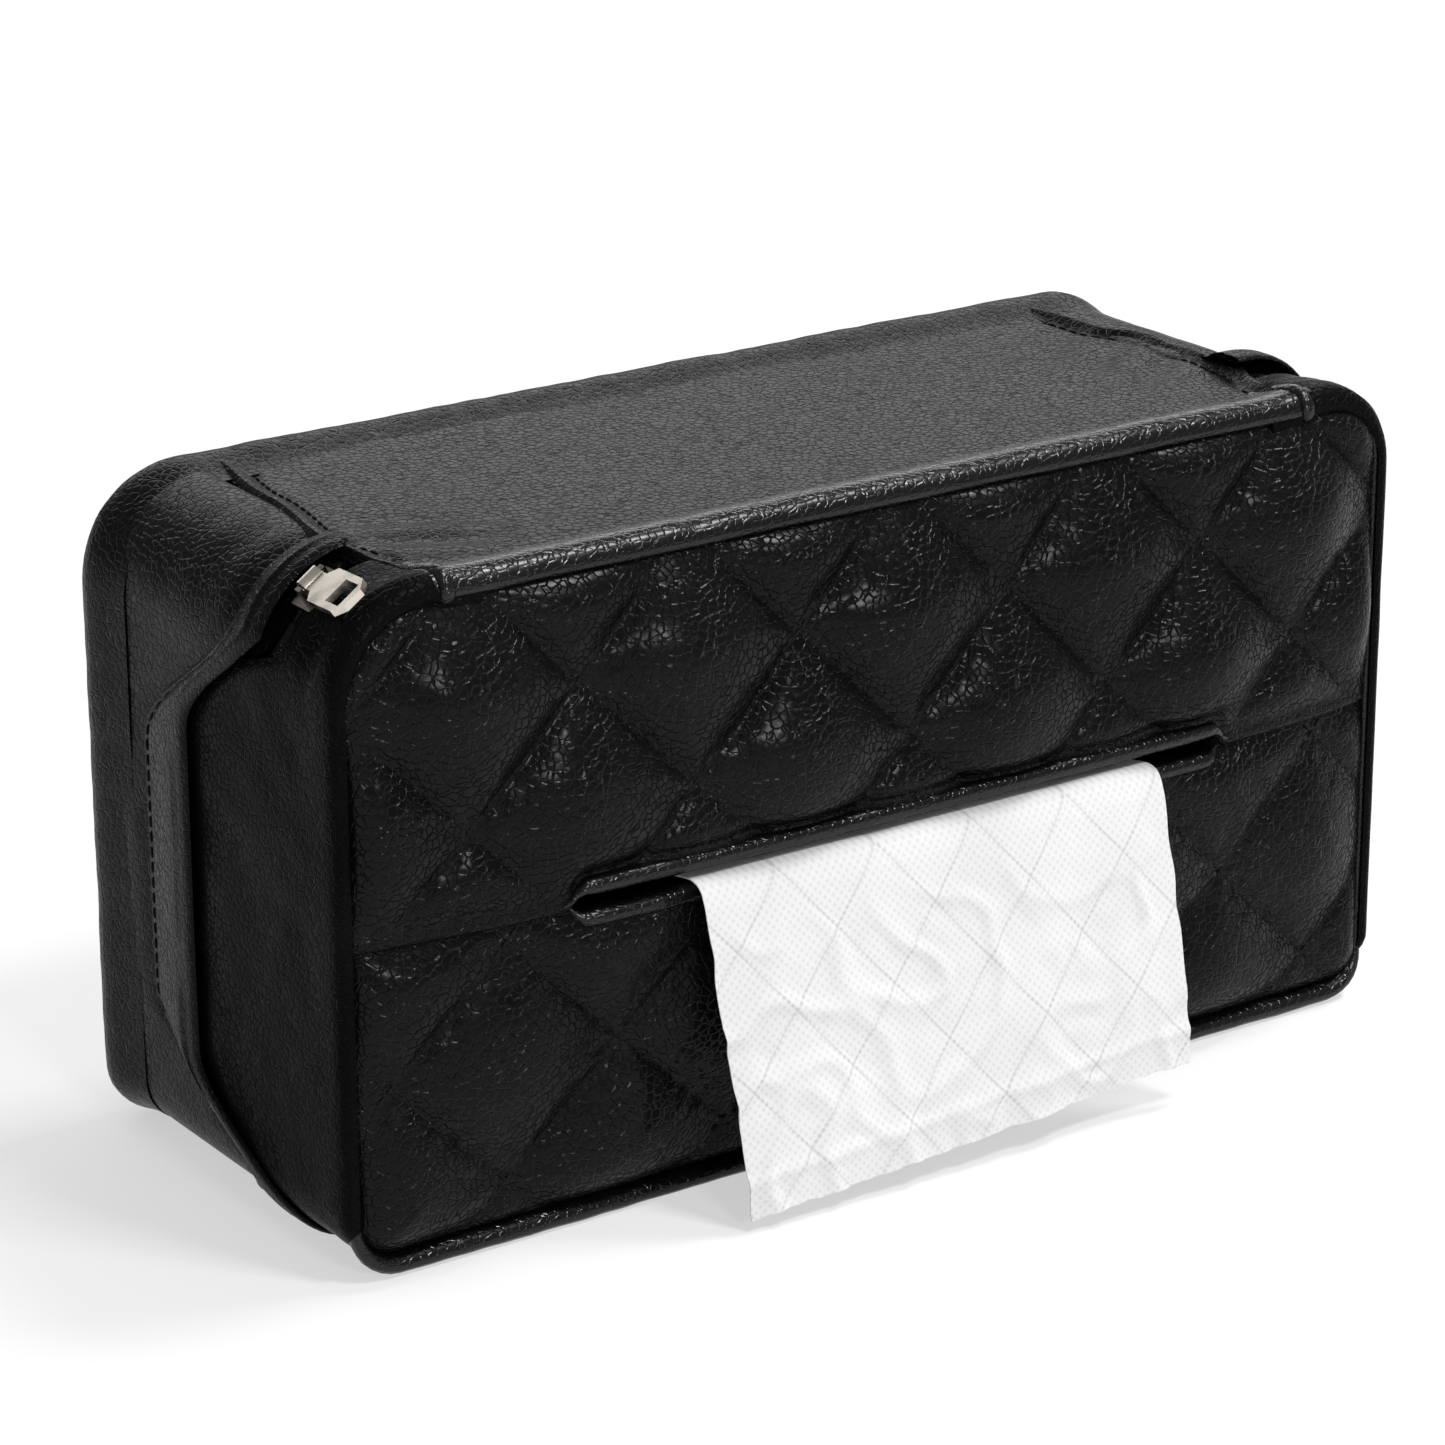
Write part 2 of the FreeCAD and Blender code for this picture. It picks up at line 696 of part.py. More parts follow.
def zip_flap(label):
    """The flap over the zip: sewn to the rear shell, free at its front edge."""
    body = zip_band(label, S.gusset_inset, S.flap_lift, BAND_FRONT, BAND_BACK, -S.flap_front,
                    S.flap_back)
    seam = zip_band(label + "_sewn", S.flap_lift, S.sewn, BAND_FRONT, BAND_BACK,
                    S.flap_back - S.flap_sewn_width, S.flap_back)
    base = block(label + "_base", (-CORNER_LOW_X, CORNER_LOW_X),
                 (S.zip_line + S.flap_back - S.flap_sewn_width, S.zip_line + S.flap_base_back),
                 (ZERO, S.gusset_inset - S.sewn))
    whole = fused(label + "_whole", [body, seam, base])
    side = SEAM_X + S.hem_lap + S.fit
    depth = (-S.case_depth, S.case_depth)
    notch_depth = (-S.case_depth, S.zip_line + S.slider_room)
    tools = [
        block(label + "_top", (-side, side), depth, (CORNER_TOP_Z, FAR)),
        block(label + "_left_notch", (-FAR, ZERO), notch_depth,
              (BAND_TOP - S.flap_notch_left, FAR)),
        block(label + "_right_notch", (ZERO, FAR), notch_depth,
              (BAND_TOP - S.flap_notch_right, FAR)),
    ]
    return finish(cut(label + "_cut", whole, tools), label)


def corner_turn(length):
    """The turn, in degrees, that a length along the band takes up on its corner."""
    return math.degrees(length.value / S.gusset_radius.value)


def slider_place(height):
    """Where the slider parks on the corner, at a height above the gusset's leather."""
    angle = math.radians(S.slider_angle.value)
    reach = S.gusset_radius.value + height
    return Vector(-CORNER_X.value - reach * math.sin(angle), S.zip_line.value,
                  CORNER_TOP_Z.value + reach * math.cos(angle))


def slider_plate(name, low):
    """One wing of the slider, wide at the nose and narrow at the tail."""
    body = doc.addObject("PartDesign::Body", name)
    sketch = new_sketch(body, "XY_Plane", name + "_outline", low)
    half = S.slider_width / 2
    tail = S.slider_tail / 2
    nose = S.slider_nose / 2
    end = S.slider_length / 2
    outline = [(end, -nose), (end, nose), (ZERO, half), (-end, tail), (-end, -tail), (ZERO, -half)]
    edges = []
    for start, stop in zip(outline, outline[1:] + outline[:1]):
        edges.append(sketch.addGeometry(Part.LineSegment(
            Vector(start[0].value, start[1].value, 0), Vector(stop[0].value, stop[1].value, 0))))
    for first, second in zip(edges, edges[1:] + edges[:1]):
        sketch.addConstraint(Sketcher.Constraint("Coincident", first, 2, second, 1))
    for edge, (x, y) in zip(edges, outline):
        if x.value > 0:
            dimension(sketch, "DistanceX", x, -1, 1, edge, 1)
        elif x.value < 0:
            dimension(sketch, "DistanceX", -x, edge, 1, -1, 1)
        else:
            sketch.addConstraint(Sketcher.Constraint("PointOnObject", edge, 1, -2))
        if y.value > 0:
            dimension(sketch, "DistanceY", y, -1, 1, edge, 1)
        else:
            dimension(sketch, "DistanceY", -y, edge, 1, -1, 1)
    pad = body.newObject("PartDesign::Pad", name + "_pad")
    pad.Profile = sketch
    bind(pad, Length=S.slider_plate)
    return body


SLIDER_WING_LOW = TAPE_TOP + S.sewn + S.tooth_height + S.slider_lift
SLIDER_WING_TOP = SLIDER_WING_LOW + S.slider_plate
SLIDER_UNDER = SLIDER_WING_LOW - S.slider_slot - S.slider_plate
BAR_HEIGHT = SLIDER_WING_TOP + S.bail_height


def slider(label):
    """Two wings joined by a neck, with a bridge on top that the pull's eye goes round."""
    neck = S.neck_thickness / 2
    end = S.slider_length / 2
    bar = S.bail_width / 2
    post = S.bail_span / 2
    pieces = [slider_plate(label + "_wing", SLIDER_WING_LOW),
              slider_plate(label + "_under_wing", SLIDER_UNDER)]
    neck_end = end - S.neck_setback
    pieces.append(block(label + "_neck", (neck_end - S.neck_length, neck_end), (-neck, neck),
                        (SLIDER_UNDER + S.slider_plate / 2, SLIDER_WING_TOP)))
    for name, low in (("tail", -post), ("nose", post - bar)):
        pieces.append(block("%s_%s_post" % (label, name), (low, low + bar), (-bar, bar),
                            (SLIDER_WING_LOW, BAR_HEIGHT + bar)))
    bridge = doc.addObject("Part::Cylinder", label + "_bridge")
    bind(bridge, Radius=bar, Height=S.bail_span - bar)
    bridge.Placement = Placement(Vector((-post + bar / 2).value, 0, BAR_HEIGHT.value),
                                 Rotation(Vector(0, 1, 0), 90))
    pieces.append(bridge)
    whole = fused(label + "_whole", pieces)
    whole.Placement = Placement(slider_place(0.0), Rotation(Vector(0, 1, 0), -S.slider_angle.value))
    return finish(whole, label)


def pull(label):
    """The pull tab: an eye round the bridge, a neck and a plate with a window."""
    body = doc.addObject("PartDesign::Body", label + "_tab")
    half = S.pull_width / 2
    eye_half = S.bail_span / 2 - S.bail_width / 2 - S.fit
    sketch = new_sketch(body, "XY_Plane", label + "_outline", -S.pull_thickness / 2)
    tip = S.pull_length
    right = [(eye_half, ZERO), (eye_half, S.pull_neck), (half, S.pull_shoulder),
             (half, tip - S.pull_rounding), (half - S.pull_rounding, tip)]
    outline = [(x, -y) for x, y in right] + [(-x, -y) for x, y in reversed(right)]
    edges = []
    for start, stop in zip(outline, outline[1:] + outline[:1]):
        edges.append(sketch.addGeometry(Part.LineSegment(
            Vector(start[0].value, start[1].value, 0), Vector(stop[0].value, stop[1].value, 0))))
    for first, second in zip(edges, edges[1:] + edges[:1]):
        sketch.addConstraint(Sketcher.Constraint("Coincident", first, 2, second, 1))
    for edge, (x, y) in zip(edges, outline):
        if x.value > 0:
            dimension(sketch, "DistanceX", x, -1, 1, edge, 1)
        else:
            dimension(sketch, "DistanceX", -x, edge, 1, -1, 1)
        if y.value < 0:
            dimension(sketch, "DistanceY", -y, edge, 1, -1, 1)
        else:
            sketch.addConstraint(Sketcher.Constraint("PointOnObject", edge, 1, -1))
    pad = body.newObject("PartDesign::Pad", label + "_pad")
    pad.Profile = sketch
    bind(pad, Length=S.pull_thickness)
    knuckle = doc.addObject("Part::Cylinder", label + "_knuckle")
    bind(knuckle, Radius=S.pull_eye / 2, Height=eye_half * 2)
    lying = Rotation(Vector(0, 1, 0), 90)
    knuckle.Placement = Placement(Vector(-eye_half.value, 0, 0), lying)
    bore = doc.addObject("Part::Cylinder", label + "_bore")
    bind(bore, Radius=S.bail_width / 2 + S.fit, Height=eye_half * 4)
    bore.Placement = Placement(Vector(-2 * eye_half.value, 0, 0), lying)
    low = S.pull_frame - tip
    window = block(label + "_window", (S.pull_frame - half, half - S.pull_frame),
                   (low, low + S.pull_window), (-S.pull_thickness, S.pull_thickness))
    whole = cut(label + "_whole", fused(label + "_solid", [body, knuckle]), [bore, window])
    leaning = Rotation(Vector(0, 1, 0), -S.slider_angle.value)
    drooping = Rotation(Vector(1, 0, 0), S.pull_droop.value)
    whole.Placement = Placement(slider_place(BAR_HEIGHT.value), leaning.multiply(drooping))
    return finish(whole, label)


def tissue_pack(label):
    """The pack of folded tissues, standing in the rear shell."""
    half = S.pack_length / 2
    floor = S.gusset_inset - BAND_LINING_LOW + S.fit
    top = S.case_height - floor - S.pack_headroom
    body = doc.addObject("PartDesign::Body", label)
    back = REAR_LINING_FRONT - S.fit
    front = back - S.pack_depth
    sketch = new_sketch(body, "XZ_Plane", label + "_outline", -back)
    draw_round_frame(sketch, half, floor, top, S.pack_round, S.pack_round)
    pad_between(body, sketch, front, back)
    return finish(body, label)


def tissue_section(x, lean, drop):
    """The sheet's outline at one place along the slot: through the slot, over, and down."""
    ply = S.tissue_ply.value
    bend = S.tissue_bend.value
    level = (SLOT_LOW + S.fit).value
    start = (S.zip_line - S.chain_channel).value
    turn = math.radians(90.0 - lean)
    centre = Vector(x, LIP_FRONT.value, level - bend)

    def on_bend(radius, angle):
        return centre + Vector(0, -radius * math.sin(angle), radius * math.cos(angle))

    down = Vector(0, -math.cos(turn), -math.sin(turn))
    inner = [on_bend(bend, 0), on_bend(bend, turn / 2), on_bend(bend, turn)]
    outer = [on_bend(bend + ply, 0), on_bend(bend + ply, turn / 2), on_bend(bend + ply, turn)]
    tail = Vector(x, start, level)
    tail_top = Vector(x, start, level + ply)
    end = inner[2] + down * drop
    end_out = outer[2] + down * drop
    return Part.Wire([
        Part.LineSegment(tail, inner[0]).toShape(),
        Part.Arc(*inner).toShape(),
        Part.LineSegment(inner[2], end).toShape(),
        Part.LineSegment(end, end_out).toShape(),
        Part.LineSegment(end_out, outer[2]).toShape(),
        Part.Arc(*reversed(outer)).toShape(),
        Part.LineSegment(outer[0], tail_top).toShape(),
        Part.LineSegment(tail_top, tail).toShape(),
    ])


def tissue_sheet(label):
    """The tissue drawn out of the slot, hanging with shallow waves along its free edge."""
    stations = 5
    width = S.tissue_width.value
    sections = []
    for number in range(stations):
        share = number / (stations - 1)
        x = S.tissue_shift.value + (share - 0.5) * width
        lean = S.tissue_lean.value + S.tissue_wave.value * math.sin(3 * math.pi * share)
        drop = S.tissue_drop.value - S.tissue_skew.value * share
        sections.append(tissue_section(x, lean, drop))
    thing = doc.addObject("Part::Feature", label)
    thing.Shape = Part.makeLoft(sections, True, True)
    return finish(thing, label)


def build():
    """Makes every sub-part, shell by shell."""
    channel = S.chain_channel / 2
    fold = S.fit
    lining_edge = S.zip_opening + S.fit
    parked = S.slider_angle.value
    slider_half = corner_turn(S.slider_length / 2)
    chain_gap = corner_turn(S.chain_end_gap)
    tail = parked + slider_half + chain_gap
    tape_stop = CORNER_TOP_Z + (S.gusset_radius + SLIDER_UNDER) * math.cos(math.radians(tail))
    seam_turn = -corner_turn(S.seam_before_corner)
    chain_end = 360.0 - chain_gap

    rolled_rim("front_rim", FRONT + S.rim_depth / 2)
    quilted_face()
    slot_lip("slot_lip_upper", SLOT_HIGH)
    slot_lip("slot_lip_lower", SLOT_LOW - S.lip_thickness)
    gusset("front_gusset", BAND_FRONT, BAND_BACK, None, -S.zip_opening)
    band_lining("front_gusset_lining", LINING_FRONT, BAND_BACK, None, -lining_edge)
    top_panel("top_panel_front", BAND_FRONT, S.zip_line - fold)
    zip_tape("zipper_tape_front", -channel - S.tape_width, -channel, None)
    zip_teeth("zipper_teeth_front", -1, tail, chain_end)
    stop_turn = seam_turn + corner_turn(S.hem_lap + S.fit + S.stop_length / 2)
    top_stop("zipper_top_stop", stop_turn)
    slider("zipper_slider")
    pull("zipper_pull")

    rolled_rim("back_rim", BACK - S.rim_depth / 2)
    large_faces()
    gusset("rear_gusset", BAND_FRONT, BAND_BACK, S.zip_opening, None)
    band_lining("rear_gusset_lining", BAND_FRONT, REAR_LINING_BACK, lining_edge, None)
    top_panel("top_panel_rear", S.zip_line + fold, BAND_BACK)
    zip_tape("zipper_tape_rear", channel, channel + S.tape_width, tape_stop)
    zip_teeth("zipper_teeth_rear", 1, tail + slider_half, chain_end)
    zip_flap("zipper_flap")
    tissue_pack("tissue_pack")
    tissue_sheet("tissue_sheet")


def export():
    """Checks every object, then writes one file for each sub-part."""
    doc.recompute()
    for thing in doc.Objects:
        bad = {"Invalid", "Error"} & set(thing.State)
        if bad:
            raise RuntimeError("%s failed: %s" % (thing.Label, thing.State))
    for thing in SUB_PARTS:
        if thing.Shape.isNull() or not thing.Shape.isValid():
            raise RuntimeError("%s has no valid shape" % thing.Label)
    os.makedirs("parts", exist_ok=True)
    for thing in SUB_PARTS:
        thing.Shape.exportStep("parts/%s.step" % thing.Label)
        print("%-22s %2d solids %10.1f mm3" % (
            thing.Label, len(thing.Shape.Solids), thing.Shape.Volume))


build()
export()
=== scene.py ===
import math

import bmesh
import bpy
from mathutils import Matrix, Vector, noise


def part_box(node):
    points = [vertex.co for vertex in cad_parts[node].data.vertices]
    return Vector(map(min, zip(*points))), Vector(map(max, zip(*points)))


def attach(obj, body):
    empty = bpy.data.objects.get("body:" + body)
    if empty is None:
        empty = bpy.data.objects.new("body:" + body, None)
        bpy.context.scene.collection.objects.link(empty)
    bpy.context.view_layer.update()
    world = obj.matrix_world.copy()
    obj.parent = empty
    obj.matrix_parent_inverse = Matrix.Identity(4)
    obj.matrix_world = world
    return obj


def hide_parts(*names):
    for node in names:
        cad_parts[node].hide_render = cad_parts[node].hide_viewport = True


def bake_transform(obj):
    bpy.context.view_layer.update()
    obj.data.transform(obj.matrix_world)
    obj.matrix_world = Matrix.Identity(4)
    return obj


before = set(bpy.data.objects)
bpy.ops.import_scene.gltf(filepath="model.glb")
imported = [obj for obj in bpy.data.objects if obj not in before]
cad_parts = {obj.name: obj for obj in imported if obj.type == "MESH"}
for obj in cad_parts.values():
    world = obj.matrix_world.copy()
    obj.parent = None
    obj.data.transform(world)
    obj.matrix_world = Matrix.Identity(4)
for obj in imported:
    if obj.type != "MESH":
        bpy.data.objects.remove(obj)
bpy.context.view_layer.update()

MM = 0.001
TURN = 2 * math.pi
ROOT_TWO = math.sqrt(2.0)

# Camera at the photograph's viewing angle
CAMERA_PLACE = (-516.05, -744.56, 396.62)
CAMERA_TARGET = (-7.34, 0.0, 70.27)
CAMERA_ROLL = -0.19
CAMERA_LENS = 125.16
CAMERA_SENSOR = 36.0

# Studio, in metres and plain light levels
WORLD_LIGHT = 0.30
FLOOR_WHITE = 0.55
FLOOR_HALF = 6.0
CASE_MIDDLE = (0.0, 0.0, 0.09)
CASE_UPPER = (0.0, 0.0, 0.10)

# Case sizes in millimetres, as in the solid model
FRONT = -46.5
BACK = 46.5
BAND_X = 117.0
BAND_LOW = 3.0
BAND_HIGH = 126.0
TOP_LEFT_CORNER = 18.5
TOP_RIGHT_CORNER = 14.0
LOW_CORNER = 9.5
BASE_END = BAND_LOW + LOW_CORNER
SEAM_X = 97.5
LEATHER = 1.4
THIN_LEATHER = 0.9
CLOTH = 0.45
TAPE_THICK = 0.5
PAPER_THICK = 0.22
ZIP_LINE = -27.0
ZIP_SWING = 34.0
SWING_TOP_RUN = 34.0
SWING_LOW_RUN = 30.0
SWING_BELOW_TOP = 8.5
SWING_ABOVE_BASE = 6.0
ZIP_OPENING = 5.5
TAPE_WIDTH = 10.0
CHANNEL = 1.6
FLAP_BACK = 18.0
FLAP_SEAM = 2.6
PANEL_X = 115.6
PANEL_LOW = 4.4
PANEL_HIGH = 124.6
SLOT_Z = 64.5
SLOT_SIDE = 74.5
SLOT_MIDDLE = 0.8
QUILT = 46.67
DIAMOND = 22.0
DIAMOND_LEAN = 0.86
DOT_STEP = 1.5
PEBBLE = 1.6
FLOOR_GAP = 0.05

# Ends of the bends across the joints, in metres
FOLD_START = (0.0, -0.0245, 0.1275)
FOLD_END = (0.0, -0.0295, 0.1275)


# Numbers


def mm(x, y, z):
    return Vector((x * MM, y * MM, z * MM))


def smooth(share):
    share = min(max(share, 0.0), 1.0)
    return share * share * (3.0 - 2.0 * share)


def ramp(value, low, high):
    return smooth((value - low) / (high - low))


def falloff(distance, reach):
    """1 at no distance, dying away over a reach."""
    return math.exp(-distance / reach)


def hump(value, middle, width):
    """A round bump, 1 high, about a middle value."""
    return math.exp(-((value - middle) / width) ** 2)


def rough(x, y, z, size, seed):
    """Smooth noise from about -1 to 1, with lumps about the given size in millimetres."""
    return noise.noise(Vector((x / size + seed * 7.3, y / size + seed * 3.1, z / size - seed * 5.7)))


def spread(first, last, count):
    return [first + (last - first) * step / (count - 1) for step in range(count)]


def even_steps(start, stop, size):
    return spread(start, stop, max(int(abs(stop - start) / size), 1) + 1)


def crowd(share, power):
    """Moves even places from -1 to 1 closer together towards both ends."""
    return math.copysign(1.0 - (1.0 - abs(share)) ** power, share)


def circle(count):
    """Cosine and sine of even steps round a circle."""
    return [(math.cos(TURN * step / count), math.sin(TURN * step / count)) for step in range(count)]


def headings(points):
    """The way ahead at each point of a line."""
    pairs = zip(points[:1] + points[:-1], points[1:] + points[-1:])
    return [after - before for before, after in pairs]


def along_curve(points, value):
    """The second number of a list of pairs, eased between them, at a value of the first."""
    for (a, low), (b, high) in zip(points, points[1:]):
        if value <= b:
            return low + (high - low) * smooth((value - a) / (b - a))
    return points[-1][1]


def bend(points, share):
    """A point on the smooth line through a few points, by its share of the way."""
    last = len(points) - 1
    where = share * last
    index = min(int(where), last - 1)
    part = where - index
    near = [points[min(max(index + step, 0), last)] for step in (-1, 0, 1, 2)]
    result = []
    for a, b, c, d in zip(*near):
        result.append(0.5 * (2 * b + (c - a) * part + (2 * a - 5 * b + 4 * c - d) * part ** 2
                             + (3 * b - a - 3 * c + d) * part ** 3))
    return result


# Meshes


def add_object(name, data):
    """Puts a mesh, a lamp or a camera into the scene."""
    obj = bpy.data.objects.new(name, data)
    bpy.context.scene.collection.objects.link(obj)
    return obj


def sheet_object(name, verts, faces):
    mesh = bpy.data.meshes.new(name)
    mesh.from_pydata(verts, [], faces)
    return add_object(name, mesh)


def make_object(name, verts, faces, sharp):
    """A mesh with all its faces turned the same way, smooth up to a sharp angle in degrees."""
    obj = sheet_object(name, verts, faces)
    clean = bmesh.new()
    clean.from_mesh(obj.data)
    bmesh.ops.recalc_face_normals(clean, faces=clean.faces)
    clean.to_mesh(obj.data)
    clean.free()
    shade(obj, sharp)
    return obj


def shade(obj, sharp):
    for polygon in obj.data.polygons:
        polygon.use_smooth = True
    obj.data.set_sharp_from_angle(angle=math.radians(sharp))


def thicken(obj, thickness, offset=-1.0, sharp=35.0):
    """Gives a sheet its thickness and returns its flat area."""
    area = sum(polygon.area for polygon in obj.data.polygons)
    solid = obj.modifiers.new("thickness", "SOLIDIFY")
    solid.thickness = thickness * MM
    solid.offset = offset
    solid.use_even_offset = False
    bpy.context.view_layer.update()
    graph = bpy.context.evaluated_depsgraph_get()
    mesh = bpy.data.meshes.new_from_object(obj.evaluated_get(graph))
    obj.modifiers.clear()
    old = obj.data
    obj.data = mesh
    bpy.data.meshes.remove(old)
    shade(obj, sharp)
    return area


def grid_faces(rows, columns, closed=False, ring=False, skip=None):
    """Faces between rows of points; closed joins the ends of each row, ring the last row to the first."""
    faces = []
    for row in range(rows if ring else rows - 1):
        low = row * columns
        high = (row + 1) % rows * columns
        for column in range(columns if closed else columns - 1):
            if skip and skip(row, column):
                continue
            after = (column + 1) % columns
            faces.append((low + column, low + after, high + after, high + column))
    return faces


def tube_faces(rows, columns, ring=False, start=0):
    """Faces of a tube of closed sections, capped at both ends unless it is a ring."""
    faces = grid_faces(rows, columns, closed=True, ring=ring)
    if not ring:
        faces.append(tuple(range(columns - 1, -1, -1)))
        faces.append(tuple(range((rows - 1) * columns, rows * columns)))
    return [tuple(start + corner for corner in face) for face in faces]


def loop_tube(name, sections, sharp, ring=False):
    """A closed section swept through a list of rings of points."""
    verts = [point for section in sections for point in section]
    return make_object(name, verts, tube_faces(len(sections), len(sections[0]), ring), sharp)


def backed_panel(name, verts, width, level):
    """A panel from rows of points, closed with a flat sheet at a level behind it."""
    start = len(verts)
    faces = grid_faces(start // width, width)
    faces += [(start + a, start + d, start + c, start + b) for a, b, c, d in faces]
    border = [*range(width), *range(2 * width - 1, start, width),
              *range(start - 2, start - width - 1, -1), *range(start - 2 * width, 0, -width)]
    for first, second in zip(border, border[1:] + border[:1]):
        faces.append((first, second, start + second, start + first))
    behind = [Vector((point.x, level * MM, point.z)) for point in verts]
    return make_object(name, verts + behind, faces, sharp=75.0)


STITCH_RINGS = ((0.0, 0.35), (0.18, 0.9), (0.5, 1.0), (0.82, 0.9), (1.0, 0.35))
STITCH_SIDES = 6


def stitch_mesh(name, runs, radius):
    """Short thread stitches, one for each pair of end points in the runs."""
    verts = []
    faces = []
    for first, second, up in runs:
        ahead = second - first
        side = ahead.cross(up).normalized()
        lift = side.cross(ahead).normalized()
        faces += tube_faces(len(STITCH_RINGS), STITCH_SIDES, start=len(verts))
        for share, size in STITCH_RINGS:
            middle = first + ahead * share + lift * (radius * MM * 0.5 * math.sin(math.pi * share))
            for cosine, sine in circle(STITCH_SIDES):
                verts.append(middle + (side * cosine + lift * sine) * (radius * MM * size))
    return make_object(name, verts, faces, sharp=60.0)


# Path round the case, seen from the front: from the top left seam by the left end and the base


class Path:
    """A rounded rectangle, as places and outward normals along its length."""

    def __init__(self, half_x, low, high, seam, top_left, low_left, low_right, top_right):
        quarter = math.pi / 2
        self.runs = [
            (None, (-seam, high), (-1, 0), (0, 1), half_x - top_left - seam),
            (top_left, (top_left - half_x, high - top_left), 90.0, None, top_left * quarter),
            (None, (-half_x, high - top_left), (0, -1), (-1, 0), high - low - top_left - low_left),
            (low_left, (low_left - half_x, low + low_left), 180.0, None, low_left * quarter),
            (None, (low_left - half_x, low), (1, 0), (0, -1), 2 * half_x - low_left - low_right),
            (low_right, (half_x - low_right, low + low_right), 270.0, None, low_right * quarter),
            (None, (half_x, low + low_right), (0, 1), (1, 0), high - low - low_right - top_right),
            (top_right, (half_x - top_right, high - top_right), 0.0, None, top_right * quarter),
            (None, (half_x - top_right, high), (-1, 0), (0, 1), half_x - top_right - seam),
        ]
        self.length = sum(run[4] for run in self.runs)
        self.total = self.length + 2 * seam
        self.high = high
        self.seam = seam

    def at(self, along):
        """The point and normal at a length along the path; past its end it runs on over the top."""
        along = along % self.total
        for corner, start, first, normal, length in self.runs:
            if along <= length:
                if corner is None:
                    return (start[0] + first[0] * along, start[1] + first[1] * along, *normal)
                angle = math.radians(first + 90.0 * along / length)
                nx, nz = math.cos(angle), math.sin(angle)
                return (start[0] + corner * nx, start[1] + corner * nz, nx, nz)
            along -= length
        return (self.seam - along, self.high, 0.0, 1.0)


BAND = Path(BAND_X, BAND_LOW, BAND_HIGH, SEAM_X, TOP_LEFT_CORNER, LOW_CORNER, LOW_CORNER,
            TOP_RIGHT_CORNER)


def zip_depth(z):
    """The zip line's depth at a height: forward at the corners, swung back between them."""
    share = min((z - SWING_ABOVE_BASE) / SWING_LOW_RUN,
                (BAND_HIGH - SWING_BELOW_TOP - z) / SWING_TOP_RUN)
    return ZIP_LINE + ZIP_SWING * smooth(share)


def over_band(along, y, lift):
    """A point at a depth and a height above the band."""
    x, z, nx, nz = BAND.at(along)
    return mm(x + nx * lift, y, z + nz * lift)


def facing(nz):
    """How far a place on the band looks up and how far down, each from 0 to 1."""
    return smooth(max(nz, 0.0)), smooth(max(-nz, 0.0))


def blend_sections(sections, up, down):
    """A section between those of the top, the ends and the base."""
    return [[a * up + b * (1.0 - up - down) + c * down for a, b, c in zip(*points)]
            for points in zip(*sections)]


def band_sheet(name, places, section, thickness, ring=False):
    """A strip round the case; section gives (depth, height above the band) pairs from front to back."""
    verts = []
    for along in places:
        row = section(along, *BAND.at(along)[:2])
        verts += [over_band(along, y, lift) for y, lift in row]
    obj = sheet_object(name, verts, grid_faces(len(places), len(row), ring=ring))
    return obj, thicken(obj, thickness, sharp=45.0)


# Materials


class Look:
    """A material in the making: one shader and the nodes that feed it."""

    def __init__(self, name):
        self.material = bpy.data.materials.new(name)
        self.material.use_nodes = True
        self.tree = self.material.node_tree
        self.tree.nodes.clear()
        self.shader = self.node("BsdfPrincipled", {})
        self.out = self.node("OutputMaterial", {"Surface": self.shader.outputs["BSDF"]})
        self.place = self.node("TexCoord", {}).outputs["Object"]

    def node(self, kind, inputs, **settings):
        """A new node with its settings, and its inputs set to values or linked to other nodes."""
        node = self.tree.nodes.new("ShaderNode" + kind)
        for setting, value in settings.items():
            setattr(node, setting, value)
        self.feed(node, inputs)
        return node

    def feed(self, node, inputs):
        for socket, value in inputs.items():
            if isinstance(value, bpy.types.NodeSocket):
                self.tree.links.new(value, node.inputs[socket])
            else:
                node.inputs[socket].default_value = value

    def surface(self, inputs):
        self.feed(self.shader, inputs)
        return self.material

    def noise(self, size, detail=2.0, roughness=0.5, output="Fac"):
        """Noise with lumps of a size in millimetres."""
        inputs = {"Vector": self.place, "Scale": 1.0 / (size * MM), "Detail": detail,
                  "Roughness": roughness}
        return self.node("TexNoise", inputs).outputs[output]

    def cells(self, place, size, feature, randomness=1.0, dimensions="3D"):
        """Distances in a pattern of cells of a size in millimetres."""
        inputs = {"Vector": place, "Scale": 1.0 / (size * MM), "Randomness": randomness}
        node = self.node("TexVoronoi", inputs, voronoi_dimensions=dimensions, feature=feature)
        return node.outputs["Distance"]

    def span(self, value, low=0.0, high=1.0, start=0.3, stop=0.7):
        """A value that runs from start to stop, mapped to run from low to high."""
        inputs = {"Value": value, "From Min": start, "From Max": stop, "To Min": low, "To Max": high}
        return self.node("MapRange", inputs).outputs["Result"]

    def colours(self, value, tones, level=1.0):
        first, second = ([part * level for part in tone] for tone in tones)
        inputs = {"Factor": value, 6: (*first, 1.0), 7: (*second, 1.0)}
        return self.node("Mix", inputs, data_type="RGBA").outputs[2]

    def bump(self, height, distance, strength, under=None):
        inputs = {"Height": height, "Distance": distance * MM, "Strength": strength}
        if under is not None:
            inputs["Normal"] = under
        return self.node("Bump", inputs).outputs["Normal"]

    def calc(self, operation, *values):
        return self.node("Math", dict(enumerate(values)), operation=operation).outputs[0]


